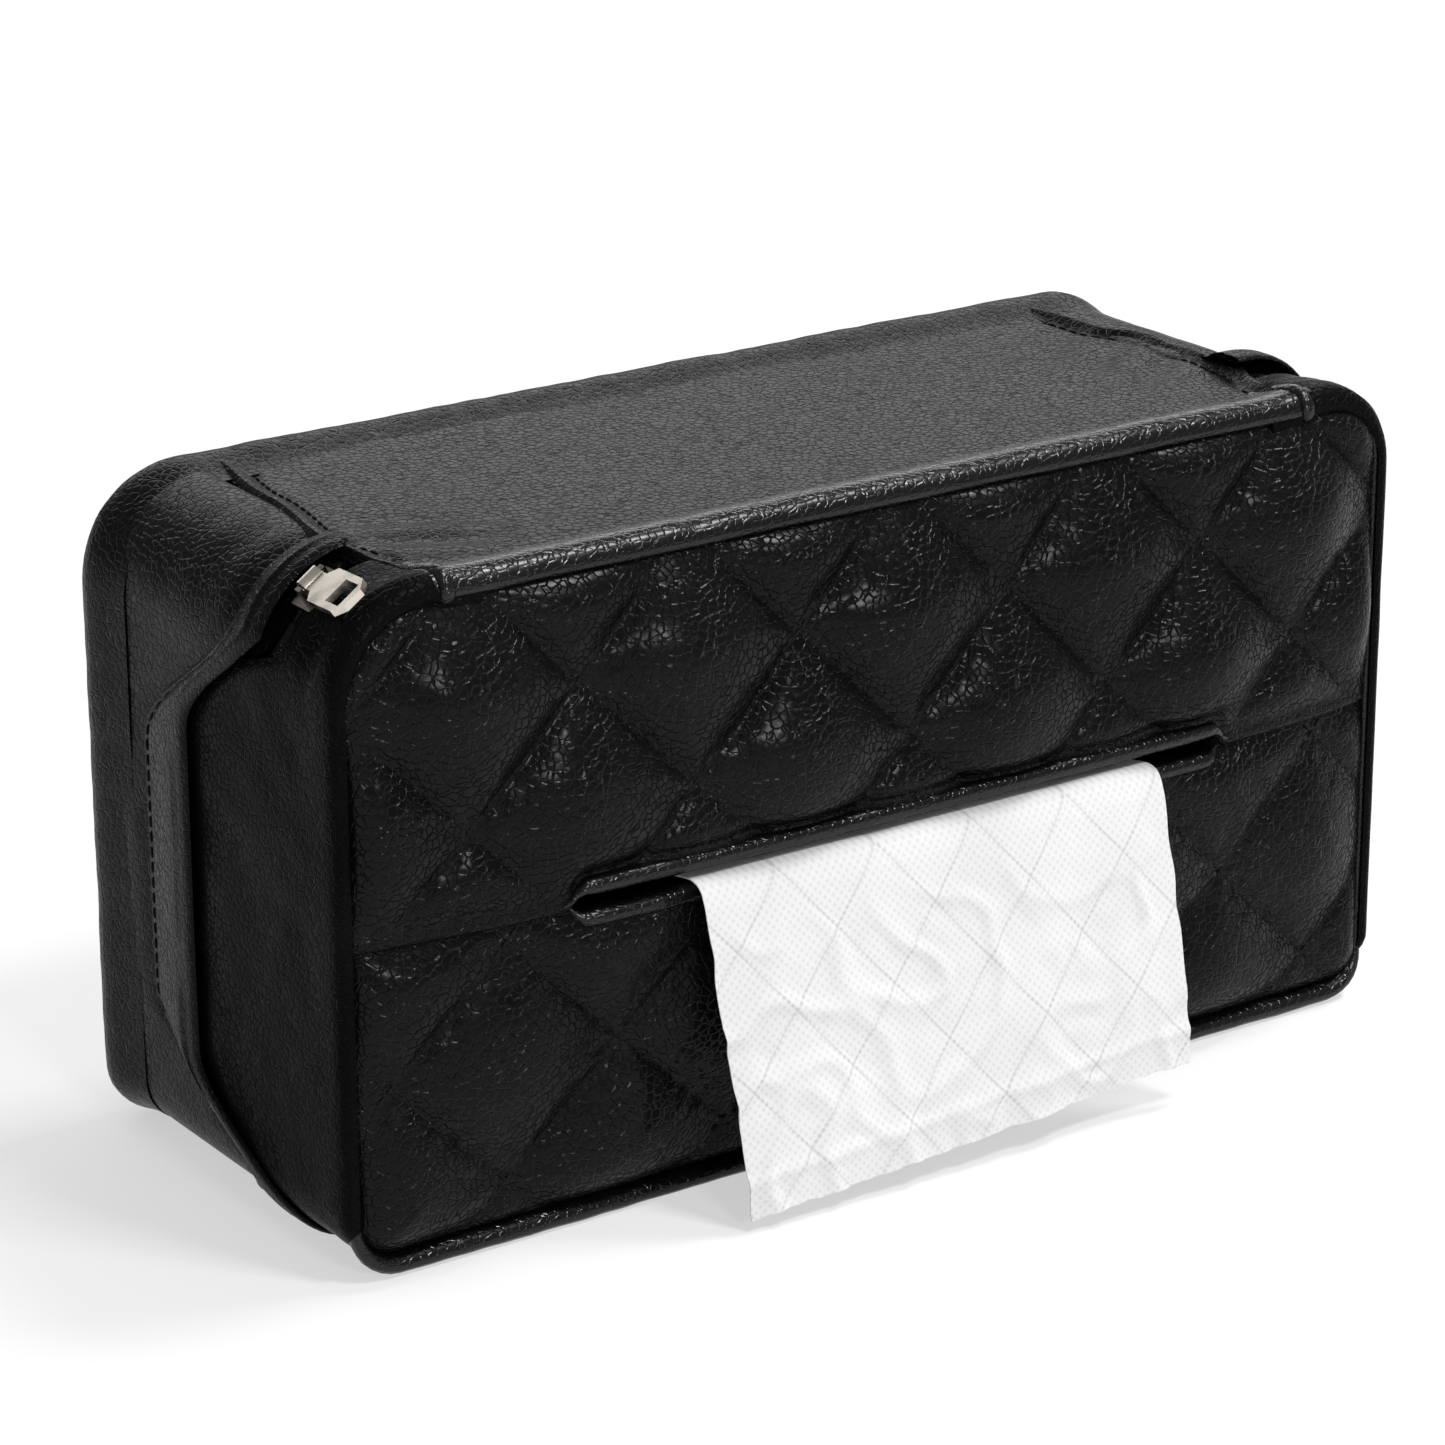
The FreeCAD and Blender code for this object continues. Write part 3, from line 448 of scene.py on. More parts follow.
# Pairs of tones that each material varies between
LEATHER_TONES = ((0.0020, 0.0020, 0.0023), (0.0040, 0.0040, 0.0044))
THREAD_TONES = ((0.0025, 0.0025, 0.003), (0.007, 0.007, 0.008))
LINING_TONES = ((0.055, 0.055, 0.058), (0.085, 0.085, 0.088))
TAPE_TONES = ((0.008, 0.008, 0.009), (0.018, 0.018, 0.019))
NICKEL_TONES = ((0.62, 0.57, 0.50), (0.72, 0.67, 0.59))
# The paper's second tone is darker, for painted shade in the emboss dents and for a random cloud tone.
PAPER_TONES_AND_DENT_SHADE = ((0.73, 0.73, 0.73), (0.52, 0.52, 0.53))
CARD_TONES = ((0.20, 0.19, 0.17), (0.34, 0.32, 0.29))
NYLON_TONES = ((0.012, 0.012, 0.013), (0.03, 0.03, 0.031))
FLOOR_TONES = ((0.93, 0.93, 0.93), (0.95, 0.95, 0.95))
BANDS_PER_UNIT = 3.1416


def leather(name, gloss=0.0, grain=1.0, shine=0.08):
    """Black pebbled leathercloth: rounded pebbles with fine creases between them."""
    look = Look(name)
    broad = look.noise(size=30.0, detail=3.0)
    fine = look.noise(size=3.0, detail=4.0, roughness=0.6)
    warp = {"Factor": 0.0006, 4: look.place, 5: look.noise(size=2.0, output="Color")}
    bent = look.node("Mix", warp, data_type="VECTOR").outputs[1]
    pebble = look.span(look.cells(bent, PEBBLE, "SMOOTH_F1"), 1.0, 0.0, 0.0, 0.8)
    crease = look.span(look.cells(bent, PEBBLE, "DISTANCE_TO_EDGE"), 0.0, 1.0, 0.0, 0.12)
    lumps = look.bump(pebble, distance=0.20, strength=0.22 * grain)
    return look.surface({
        "Base Color": look.colours(look.span(broad), LEATHER_TONES),
        "Roughness": look.span(fine, 0.27 - gloss, 0.36 - gloss),
        "Specular IOR Level": shine,
        "Normal": look.bump(crease, distance=0.20, strength=0.60 * grain, under=lumps)})


def thread(name):
    look = Look(name)
    twist = look.noise(size=0.5)
    return look.surface({
        "Base Color": look.colours(twist, THREAD_TONES),
        "Roughness": look.span(twist, 0.42, 0.6),
        "Specular IOR Level": 0.12,
        "Normal": look.bump(twist, distance=0.1, strength=0.6)})


def woven(name, tones, pitch, strength):
    """A plain weave: two crossing sets of threads."""
    look = Look(name)
    scale = 1.0 / (pitch * MM) / BANDS_PER_UNIT
    weave = {"Vector": look.place, "Scale": scale, "Distortion": 0.6, "Detail": 1.0}
    waves = [look.node("TexWave", weave, bands_direction=axis).outputs["Fac"] for axis in "XYZ"]
    threads = look.calc("ADD", look.calc("MULTIPLY", waves[0], waves[2]), waves[1])
    broad = look.noise(size=12.0, detail=3.0)
    return look.surface({
        "Base Color": look.colours(look.span(broad), tones),
        "Roughness": 0.85,
        "Specular IOR Level": 0.2,
        "Normal": look.bump(threads, distance=0.15, strength=strength)})


def nickel(name, level=1.0):
    # A level below 1 paints the metal's tones darker, which stands for painted shade.
    look = Look(name)
    scuff = look.noise(size=5.0)
    return look.surface({
        "Base Color": look.colours(look.span(scuff), NICKEL_TONES, level),
        "Metallic": 1.0,
        "Roughness": look.span(scuff, 0.16, 0.34),
        "Normal": look.bump(scuff, distance=0.01, strength=0.12)})


def paper(name):
    """White tissue with a fine overall emboss and sparse dotted diamonds; their dents are painted darker
    as painted shade.
    """
    look = Look(name)
    fibre = look.noise(size=1.6, detail=5.0, roughness=0.7)
    cloud = look.noise(size=18.0, detail=3.0)
    across = look.node("SeparateXYZ", {0: look.place}).outputs
    flat = look.node("CombineXYZ", {"X": across["X"], "Y": across["Z"]}).outputs[0]
    turn = {"Vector": flat, "Rotation": (0.0, 0.0, math.radians(45.0))}
    turned = look.node("Mapping", turn).outputs["Vector"]
    dots = look.cells(turned, 1.3, "F1", randomness=0.0, dimensions="2D")
    pits = look.span(dots, 1.0, 0.0, 0.05, 0.42)
    diamonds = dotted_diamonds(look, across["X"], across["Z"])
    # The diamonds and the emboss dots are painted darker in the colour: painted shade in their dents. The
    # cloud is a random tone.
    shaded = look.calc("MULTIPLY_ADD", diamonds, 0.55, look.span(cloud, 0.0, 0.2))
    shaded = look.calc("MULTIPLY_ADD", pits, 0.5, shaded)
    micro = look.bump(pits, distance=0.35, strength=-0.8)
    marks = look.bump(diamonds, distance=0.30, strength=-0.8, under=micro)
    return look.surface({
        "Base Color": look.colours(shaded, PAPER_TONES_AND_DENT_SHADE),
        "Roughness": 0.95,
        "Specular IOR Level": 0.1,
        "Normal": look.bump(fibre, distance=0.16, strength=0.30, under=marks)})


def dotted_diamonds(look, across, up):
    """1 on small dots along two crossing sets of slanting lines, 0 between them."""
    rows = []
    for lean in (DIAMOND_LEAN, -DIAMOND_LEAN):
        line = look.calc("MULTIPLY_ADD", up, lean, across)
        along = look.calc("MULTIPLY_ADD", across, -lean, up)
        far = look.calc("PINGPONG", line, DIAMOND / 2 * MM)
        step = look.calc("PINGPONG", along, DOT_STEP / 2 * MM)
        step = look.calc("SUBTRACT", step, DOT_STEP / 4 * MM)
        square = look.calc("MULTIPLY", far, far)
        square = look.calc("MULTIPLY_ADD", step, look.calc("ABSOLUTE", step), square)
        rows.append(look.span(square, 1.0, 0.0, 0.03e-6, 0.16e-6))
    return look.calc("MAXIMUM", *rows)


def card(name):
    look = Look(name)
    fibre = look.noise(size=3.0, detail=6.0, roughness=0.7)
    return look.surface({
        "Base Color": look.colours(fibre, CARD_TONES),
        "Roughness": 0.9,
        "Normal": look.bump(fibre, distance=0.1, strength=0.3)})


def nylon(name):
    look = Look(name)
    broad = look.noise(size=6.0)
    return look.surface({
        "Base Color": look.colours(broad, NYLON_TONES),
        "Roughness": look.span(broad, 0.28, 0.42)})


def white_floor(name):
    """Part of the floor's white is its own where it is seen, so that its shadow stays soft."""
    look = Look(name)
    look.surface({
        "Base Color": look.colours(look.noise(size=400.0), FLOOR_TONES),
        "Roughness": 0.9,
        "Specular IOR Level": 0.0})
    path = look.node("LightPath", {}).outputs
    seen = look.calc("ADD", path["Is Camera Ray"], path["Is Glossy Ray"])
    seen = look.calc("ADD", seen, path["Is Transmission Ray"])
    glow = look.node("Emission", {"Strength": 1.0}).outputs[0]
    shares = {"Fac": look.calc("MULTIPLY", seen, FLOOR_WHITE), 1: look.shader.outputs[0], 2: glow}
    look.feed(look.out, {"Surface": look.node("MixShader", shares).outputs[0]})
    return look.material


LEATHER_SKIN = leather("black_leather_skin")
GUSSET_SKIN = leather("black_leather_gusset", shine=0.02)
TOP_SKIN = leather("black_leather_top", shine=0.075)
PANEL_SKIN = leather("black_leather_quilt", gloss=0.07, shine=0.11)
RIM_SKIN = leather("black_leather_rim", gloss=0.08, grain=0.55, shine=0.32)
THREAD = thread("black_thread")
LINING_CLOTH = woven("grey_lining_cloth", LINING_TONES, pitch=0.55, strength=0.5)
TAPE_CLOTH = woven("zip_tape_cloth", TAPE_TONES, pitch=0.8, strength=0.7)
NICKEL = nickel("nickel_plate")
# The slider's nickel is painted darker: painted shade, as under the flap's hood.
PAINTED_SHADE_NICKEL = nickel("nickel_slider_painted_shade", level=0.35)
PAPER = paper("tissue_paper")
CARD = card("grey_card")
NYLON = nylon("nylon_coil_black")


def dress(obj, material, body=None, nodes=()):
    """Gives a piece its material and the body it rides on, and hides the solids it stands for."""
    obj.data.materials.clear()
    obj.data.materials.append(material)
    if body:
        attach(obj, body)
    if nodes:
        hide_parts(*nodes)


# Quilted front

FRAME_CORNERS = {(-1, 1): 15.6, (-1, -1): 6.6, (1, 1): 11.2, (1, -1): 6.6}
UPPER = {"node": "front_panel_upper", "lip": "slot_lip_upper", "side": 1.0, "cross": (0.0, 82.0),
         "rise": 7.0, "seed": 3.0, "seam": -0.6, "opening": 2.9}
LOWER = {"node": "front_panel_lower", "lip": "slot_lip_lower", "side": -1.0, "cross": (-16.3, 36.5),
         "rise": 4.6, "seed": 5.0, "seam": 0.9, "opening": -4.3}
PANEL_FACE = -43.0
PANEL_LEAST = -42.2
PANEL_BACK = 41.95
PANEL_COLUMNS = 300
PANEL_ROWS = 80
CROWN_RISE = 5.4
PILLOW_VARY = 0.22
PUCKER_RISE = 0.20
GATHER_RISE = 0.28
GROOVE_DEPTH = 1.5
SEAM_TUCK = 1.9
SLOT_TUCK = 1.6
TURNED_EDGE = ((6.5, 0.8), (4.2, -0.4), (2.2, -1.1), (0.8, -1.2), (0.1, -0.7), (-0.25, 0.1))
QUILT_PITCH = 2.7
QUILT_STITCH = 0.36
QUILT_REACH = 170.0
QUILT_LINES = 8
RIM_CLEARANCE = 2.2
SLOT_CLEARANCE = 2.6
LIP_FACE = -45.5
LIP_OVER = 1.5
LIP_RADIUS_Y = 2.1
LIP_RADIUS_Z = 1.8


def frame_corner(x, high):
    return FRAME_CORNERS[(1 if x > 0 else -1, 1 if high else -1)]


def frame_edge(x, high):
    """The height of the rim's inner edge at a place along the front."""
    corner = frame_corner(x, high)
    over = max(abs(x) - (PANEL_X - corner), 0.0)
    drop = corner - math.sqrt(max(corner ** 2 - over ** 2, 0.0))
    return PANEL_HIGH - drop if high else PANEL_LOW + drop


def edge_distance(x, z):
    """How far a point of the front is from the rim."""
    side = PANEL_X - abs(x)
    high = z > SLOT_Z
    end = PANEL_HIGH - z if high else z - PANEL_LOW
    corner = frame_corner(x, high)
    if side < corner and end < corner:
        return max(corner - math.hypot(corner - side, corner - end), 0.0)
    return max(min(side, end), 0.0)


def slot_share(x):
    """1 along the open slot, 0 on the sewn seam beyond its ends."""
    return 1.0 - ramp(abs(x - SLOT_MIDDLE), SLOT_SIDE - 2.5, SLOT_SIDE + 1.0)


def crown(x, z):
    """The front's overall swell, deepest along the slot."""
    across = 1.0 - (abs(x) / PANEL_X) ** 3
    height = PANEL_HIGH - SLOT_Z if z > SLOT_Z else SLOT_Z - PANEL_LOW
    up = max(1.0 - abs(z - SLOT_Z) / height, 0.0)
    return CROWN_RISE * across * up ** 0.85


def quilt(x, z, half):
    """The height of a quilted pillow over its sewn lines."""
    cross_x, cross_z = half["cross"]
    first = ((x - cross_x) + (z - cross_z)) / QUILT
    second = ((x - cross_x) - (z - cross_z)) / QUILT
    rise = abs(math.sin(math.pi * first)) * abs(math.sin(math.pi * second))
    cell = Vector((math.floor(first) * 1.7 + half["seed"], math.floor(second) * 2.3, half["seed"]))
    vary = 1.0 + PILLOW_VARY * noise.noise(cell * 3.7)
    pucker = 0.0
    for line, along, seed in ((first, x - z, 1.0), (second, x + z, 2.0)):
        near = abs(line - round(line)) * QUILT / ROOT_TWO
        wave = math.sin(along / ROOT_TWO * 1.25 + 3.0 * rough(x, z, 0, 11, seed))
        pucker += falloff(near, 3.5) * (1.0 - falloff(near, 0.9)) * wave
    plump = 0.45 * rise ** 0.45 + 0.55 * rise ** 0.9
    folds = gather(x, z, first, second, half)
    return half["rise"] * vary * plump + PUCKER_RISE * pucker + GATHER_RISE * folds


def gather(x, z, first, second, half):
    """Folds that run out from the nearest crossing of two sewn lines."""
    cross_x, cross_z = half["cross"]
    middle_x = cross_x + QUILT * (round(first) + round(second)) / 2
    middle_z = cross_z + QUILT * (round(first) - round(second)) / 2
    away = math.hypot(x - middle_x, z - middle_z)
    turn = math.atan2(z - middle_z, x - middle_x)
    phase = 9.0 * rough(middle_x, 0, middle_z, 13, 44.0)
    folds = math.sin(5.0 * turn + phase) + 0.6 * math.sin(9.0 * turn - phase)
    return folds * hump(away, 0.0, 9.5) * (1.0 - falloff(away, 3.0))


def front_depth(x, z, half):
    """How far forward the quilted front stands at a point."""
    edge = edge_distance(x, z)
    inside = 1.0 - falloff(edge, 4.0)
    off_seam = 1.0 - falloff(max(abs(z - SLOT_Z) - 2.0, 0.0), 5.5)
    rise = 1.3 + 1.2 * (1.0 - falloff(edge, 2.0)) + crown(x, z)
    rise += quilt(x, z, half) * inside * off_seam
    rise += (0.35 * rough(x, 0, z, 16, half["seed"]) + 0.12 * rough(x, 0, z, 5, half["seed"] + 1)) * inside
    if half is UPPER:
        rise -= GROOVE_DEPTH * slot_share(x) * hump(z - panel_start(x, half), 3.0, 1.5)
    else:
        tuck = SEAM_TUCK + SLOT_TUCK * slot_share(x)
        rise -= tuck * falloff(max(SLOT_Z + 1.0 - z, 0.0), 4.5)
    return PANEL_FACE - rise


def panel_start(x, half):
    """The height of a panel's inner edge, at the slot or at the seam beyond it."""
    return SLOT_Z + half["seam"] + half["opening"] * slot_share(x)


def panel_columns(count):
    return [crowd(share, 1.25) * PANEL_X for share in spread(-1.0, 1.0, count + 1)]


def quilted_panel(name, half):
    """One half of the quilted front, closed at the back, with its inner edge turned under."""
    places = panel_columns(PANEL_COLUMNS)
    verts = []
    for tuck, drop in TURNED_EDGE:
        for x in places:
            start = panel_start(x, half)
            y = front_depth(x, start, half) + tuck
            verts.append(mm(x, min(y, PANEL_LEAST), start + half["side"] * drop))
    for share in spread(0.0, 1.0, PANEL_ROWS)[1:]:
        for x in places:
            start = panel_start(x, half)
            z = start + (frame_edge(x, half is UPPER) - start) * share
            verts.append(mm(x, min(front_depth(x, z, half), PANEL_LEAST), z))
    return backed_panel(name, verts, len(places), -PANEL_BACK)


def quilt_stitches(half):
    """Stitches along a panel's sewn lines."""
    runs = []
    cross_x, cross_z = half["cross"]
    for slope in (1.0, -1.0):
        for number in range(-QUILT_LINES, QUILT_LINES + 1):
            middle_x = cross_x + number * QUILT
            for step in range(int(2 * QUILT_REACH / QUILT_PITCH)):
                ends = []
                for part in (-QUILT_STITCH, QUILT_STITCH):
                    along = -QUILT_REACH + (step + part) * QUILT_PITCH
                    ends.append((middle_x + along / ROOT_TWO, cross_z + slope * along / ROOT_TWO))
                if all(inside_panel(x, z, half) for x, z in ends):
                    points = [mm(x, front_depth(x, z, half) - 0.12, z) for x, z in ends]
                    runs.append((*points, Vector((0, -1, 0))))
    return runs


def inside_panel(x, z, half):
    """Whether a point of a sewn line is clear of the rim and of the slot."""
    from_slot = half["side"] * (z - panel_start(x, half))
    return edge_distance(x, z) >= RIM_CLEARANCE and from_slot > SLOT_CLEARANCE


def build_front():
    for half in (UPPER, LOWER):
        skin = quilted_panel(half["node"] + "_skin", half)
        dress(skin, PANEL_SKIN, "front_shell", [half["node"]])
    runs = quilt_stitches(UPPER) + quilt_stitches(LOWER)
    dress(stitch_mesh("quilt_stitching", runs, 0.26), THREAD, "front_shell")


def build_lips():
    reach = SLOT_SIDE + LIP_OVER
    for half in (UPPER, LOWER):
        rings = []
        for x in even_steps(SLOT_MIDDLE - reach, SLOT_MIDDLE + reach, 1.4):
            z = panel_start(x, half) + half["side"] * 0.4
            y = LIP_FACE - crown(x, z) + 0.4 if half is UPPER else front_depth(x, z, half) + 0.9
            size = 1.0 - ramp(abs(x - SLOT_MIDDLE), SLOT_SIDE - 4.0, reach) * 0.7
            size *= 1.0 + 0.05 * rough(x, 0, 0, 6, 41.0 + half["side"])
            rings.append([mm(x, y + LIP_RADIUS_Y * size * cosine, z + LIP_RADIUS_Z * size * sine)
                          for cosine, sine in circle(14)])
        bead = loop_tube(half["lip"] + "_bead", rings, sharp=70.0)
        dress(bead, RIM_SKIN, "front_shell", [half["lip"]])


# Rolled rims: pairs of a depth from the face and a height above the band

RIM_TOP = ((14.0, 0.55), (11.5, 0.9), (9.0, 1.7), (6.8, 2.35), (4.8, 2.6), (3.0, 2.2), (1.6, 1.2),
           (0.8, -0.1), (0.7, -1.2), (1.3, -2.0), (2.7, -2.3), (5.0, -1.5), (8.0, -0.6))
RIM_SIDE = ((10.0, 0.3), (8.4, 0.4), (6.6, 0.5), (4.8, 0.6), (3.4, 0.55), (2.4, 0.3), (1.8, -0.1),
            (1.6, -0.6), (1.7, -1.1), (2.2, -1.5), (3.2, -1.7), (5.0, -1.2), (8.0, -0.4))
RIM_BASE = ((10.0, 0.9), (8.4, 0.95), (6.6, 1.0), (5.0, 1.2), (3.6, 2.0), (2.2, 2.6), (0.9, 2.5),
            (0.1, 1.7), (0.1, 0.6), (0.9, -0.4), (2.4, -1.2), (5.0, -1.1), (8.0, -0.5))
BACK_UNDER = ((0.3, -1.1), (1.4, -2.0), (3.0, -2.2), (6.0, -1.6), (11.0, -0.6))
BACK_TOP = ((16.0, 0.6), (13.0, 0.8), (10.0, 1.3), (7.0, 2.0), (4.4, 2.5), (2.2, 2.35), (0.7, 1.6),
            (0.0, 0.3)) + BACK_UNDER
BACK_SIDE = ((16.0, 0.9), (13.0, 1.25), (10.0, 1.7), (7.0, 2.2), (4.4, 2.45), (2.2, 2.15), (0.7, 1.3),
             (0.0, 0.1)) + BACK_UNDER
BACK_BASE = ((16.0, 0.8), (13.0, 1.0), (10.0, 1.4), (7.0, 2.1), (4.4, 2.75), (2.2, 2.6), (0.7, 1.7),
             (0.0, 0.3)) + BACK_UNDER
RIM_STEP = 1.6
LOOP_BUMP = 0.3


def rim_ring(name, sections, front, seed):
    """A rolled edge right round the case, with its own section on top, ends and base."""
    rings = []
    for along in even_steps(0.0, BAND.total, RIM_STEP)[:-1]:
        x, z, nx, nz = BAND.at(along)
        swell = 1.0 + 0.10 * rough(x, 0, z, 12, seed) + 0.07 * rough(x, 0, z, 4.5, seed + 1)
        bump = 0.0
        if front and nz > 0.9:
            bump = LOOP_BUMP * hump(x, -95.0, 2.5) + LOOP_BUMP * hump(x, 97.0, 2.5)
        ring = []
        for depth, height in blend_sections(sections, *facing(nz)):
            y = FRONT + depth if front else BACK - depth
            lift = height * swell + bump if height > 0 else height
            ring.append(mm(x + nx * lift, y, max(z + nz * lift, FLOOR_GAP)))
        rings.append(ring)
    return loop_tube(name, rings, sharp=80.0, ring=True)


def build_rims():
    dress(rim_ring("front_rim_roll", (RIM_TOP, RIM_SIDE, RIM_BASE), True, 4.0), RIM_SKIN,
          "front_shell", ["front_rim"])
    dress(rim_ring("back_rim_roll", (BACK_TOP, BACK_SIDE, BACK_BASE), False, 6.0), TOP_SKIN,
          "rear_shell", ["back_rim"])


# Gussets, flap and top

GUSSET_TUCK = 9.0
GUSSET_STEP = 1.5
GUSSET_EDGE = 0.9
GUSSET_LIFT = 1.95
GUSSET_BACK = 42.0
TOP_DIP = 1.9
FLAP_SHIFT = 7.0
FLAP_OVER = 2.6
FLAP_NOTCH = -21.7
FLAP_STEP = 1.3
FLAP_ROLL = 4.2
FLAP_LIFT = 3.9
FLAP_DROP = 1.6
WRAP_SIDE = ((0.9, -1.0), (0.65, -0.2), (0.8, 0.6), (1.3, 1.3), (2.2, 1.75), (3.6, 1.95))
WRAP_TOP = ((1.4, -2.1), (0.6, -1.2), (0.65, -0.1), (1.4, 1.3), (2.8, 2.45), (4.6, 2.85))
WRAP_BASE = ((4.4, -0.3), (4.5, -0.1), (4.7, 0.05), (5.0, 0.15), (5.4, 0.2), (5.9, 0.3))
FLAP_EDGE = ((6.0, 2.75), (3.4, 2.65), (1.5, 2.7), (0.45, 2.85), (0.0, 3.15), (0.3, 3.55), (1.2, 3.85),
             (2.6, 3.95), (FLAP_ROLL, 3.8))


def under_top(along):
    """How far a strip is tucked under the top panel, from 0 to 1."""
    return ramp(max(-along, along - BAND.length, 0.0), 0.0, 3.0)


def wrinkle(x, y, z, seed):
    return 0.55 * rough(x, y * 0.5, z, 24, seed) + 0.22 * rough(x, y, z, 8, seed + 3)


def rest_height(lift, z, most):
    """Keeps a strip off the floor along the base."""
    return min(lift, most) if z < BASE_END else lift


def flap_front(x, z):
    """The depth of the flap's free edge, which stands back where the slider parks."""
    shift = -FLAP_SHIFT if z > SLOT_Z else FLAP_SHIFT
    edge = zip_depth(z + shift) - FLAP_OVER + 0.4 * rough(x, 0, z, 20, 12.0)
    return max(edge, FLAP_NOTCH) if z > SLOT_Z else edge


def gusset_edge(x, z):
    """The depth of the front gusset's edge, which reaches in under the flap but leaves the slider free."""
    near = zip_depth(z) - GUSSET_EDGE
    under = max(near, flap_front(x, z) + 2.0)
    return near + (under - near) * (1.0 - ramp(z, 108.0, 113.0))


def front_gusset_section(along, x, z):
    up, down = facing(BAND.at(along)[3])
    dip = TOP_DIP * under_top(along)
    swell = 1.0 + 0.10 * rough(x, 0, z, 10, 14.0)
    row = []
    for depth, lift in blend_sections((WRAP_TOP, WRAP_SIDE, WRAP_BASE), up, down):
        row.append((FRONT + depth, lift * swell - dip))
    first = FRONT + 5.2 * (1.0 - down) + 6.6 * down
    last = gusset_edge(x, z)
    for share in spread(0.0, 1.0, 26):
        y = first + (last - first) * share
        end = ramp(y, last - 6.0, last)
        free = ramp(share, 0.0, 0.25) * (1.0 - end) * (1.0 - down)
        lift = GUSSET_LIFT * (1.0 - down) + 0.5 * down + 0.9 * up * (1.0 - ramp(share, 0.0, 0.4))
        lift += 2.1 * wrinkle(x, y, z, 8.0) * free - 0.3 * end
        row.append((y, rest_height(lift, z, 1.5) - dip))
    return row


def rear_gusset_section(along, x, z):
    line = zip_depth(z)
    row = []
    for y in spread(line + ZIP_OPENING, GUSSET_BACK, 34):
        free = ramp(y - line, FLAP_BACK - 3.0, FLAP_BACK + 6.0)
        lift = free * (1.0 + 0.9 * wrinkle(x, y, z, 9.0)) * (1.0 - ramp(y, 37.0, 41.5))
        row.append((y, rest_height(lift, z, 0.6) - TOP_DIP * under_top(along)))
    return row


def flap_section(along, x, z):
    front = flap_front(x, z)
    back = zip_depth(z) + FLAP_BACK
    drop = FLAP_DROP * (1.0 - ramp(z, 6.0, 24.0))
    row = [(front + offset, lift - drop) for offset, lift in FLAP_EDGE]
    for share in spread(0.0, 1.0, 16)[1:]:
        y = front + FLAP_ROLL + (back - front - FLAP_ROLL) * share
        lift = FLAP_LIFT - 1.9 * smooth(share) - 0.55 * hump(back - y, FLAP_SEAM, 1.1)
        lift -= 1.15 * ramp(y, back - 2.0, back)
        lift += 0.5 * rough(x, y * 0.6, z, 16, 13.0) * (1.0 - share)
        row.append((y, lift - drop * (1.0 - share)))
    return [(y, rest_height(lift, z, 2.9)) for y, lift in row]


def leather_strip(node, body, material, places, section, thickness):
    """A strip of leather sewn round the case."""
    skin, area = band_sheet(node + "_skin", places, section, thickness)
    dress(skin, material, body, [node])


def build_gussets():
    places = even_steps(-GUSSET_TUCK, BAND.length + GUSSET_TUCK, GUSSET_STEP)
    leather_strip("front_gusset", "front_shell", GUSSET_SKIN, places, front_gusset_section, THIN_LEATHER)
    leather_strip("rear_gusset", "rear_shell", LEATHER_SKIN, places, rear_gusset_section, LEATHER)
    places = even_steps(FLAP_SEAM, BAND.length - FLAP_SEAM, FLAP_STEP)
    leather_strip("zipper_flap", "rear_shell", LEATHER_SKIN, places, flap_section, THIN_LEATHER)


# The top panel's ends: pairs of a depth and a place along the case

LEFT_HEM = ((-47.0, -95.5), (-40.0, -95.0), (-34.0, -98.0), (-26.0, -99.4), (-16.0, -100.4),
            (14.0, -96.2), (43.0, -92.0))
RIGHT_HEM = ((-47.0, 97.5), (-32.0, 97.0), (-18.0, 101.5), (9.0, 101.8), (20.0, 97.5), (43.0, 95.0))
HEM_SEAM = 3.6
TOP_LEVEL = 126.75
TOP_REACH = 42.0
TOP_STEP = 1.2
TOP_COLUMNS = 150
TOP_OVER = 1.5
TOPSTITCH = 0.28
TOPSTITCH_PITCH = 3.0
TOPSTITCH_RUN = 80.0
TOPSTITCH_START = -39.0


def top_height(x, y):
    """The top leather's height, with a rolled hem along both ends."""
    inside = min(x - along_curve(LEFT_HEM, y), along_curve(RIGHT_HEM, y) - x)
    z = TOP_LEVEL
    z += 1.15 * hump(inside, 0.2, 1.35)
    z -= 0.45 * hump(inside, HEM_SEAM, 0.9)
    z += 0.30 * ramp(inside, 4.0, 30.0)
    z += 0.40 * rough(x, y * 0.7, 0, 34, 21.0) + 0.20 * rough(x, y, 0, 11, 22.0)
    z += hump(x, -84.0, 16.0) * hump(y, -20.0, 14.0) * 0.4 * math.sin((x * 0.6 + y) * 0.45)
    z += hump(x, 88.0, 14.0) * hump(y, -2.0, 16.0) * 0.5 * math.sin((x * 0.9 - y) * 0.4)
    return z


def build_top():
    rows = even_steps(-TOP_REACH, TOP_REACH, TOP_STEP)
    verts = []
    for y in rows:
        left = along_curve(LEFT_HEM, y)
        right = along_curve(RIGHT_HEM, y)
        for share in spread(-1.0, 1.0, TOP_COLUMNS + 1):
            x = (left + right) / 2 + crowd(share, 1.5) * ((right - left) / 2 + TOP_OVER)
            edge = max(left - x, x - right, 0.0)
            verts.append(mm(x, y, top_height(x, y) - 1.1 * ramp(edge, 0.3, TOP_OVER)))
    obj = sheet_object("top_panel_skin", verts, grid_faces(len(rows), TOP_COLUMNS + 1))
    area = thicken(obj, LEATHER)
    dress(obj, TOP_SKIN, None, ["top_panel_front", "top_panel_rear"])
    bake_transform(obj)


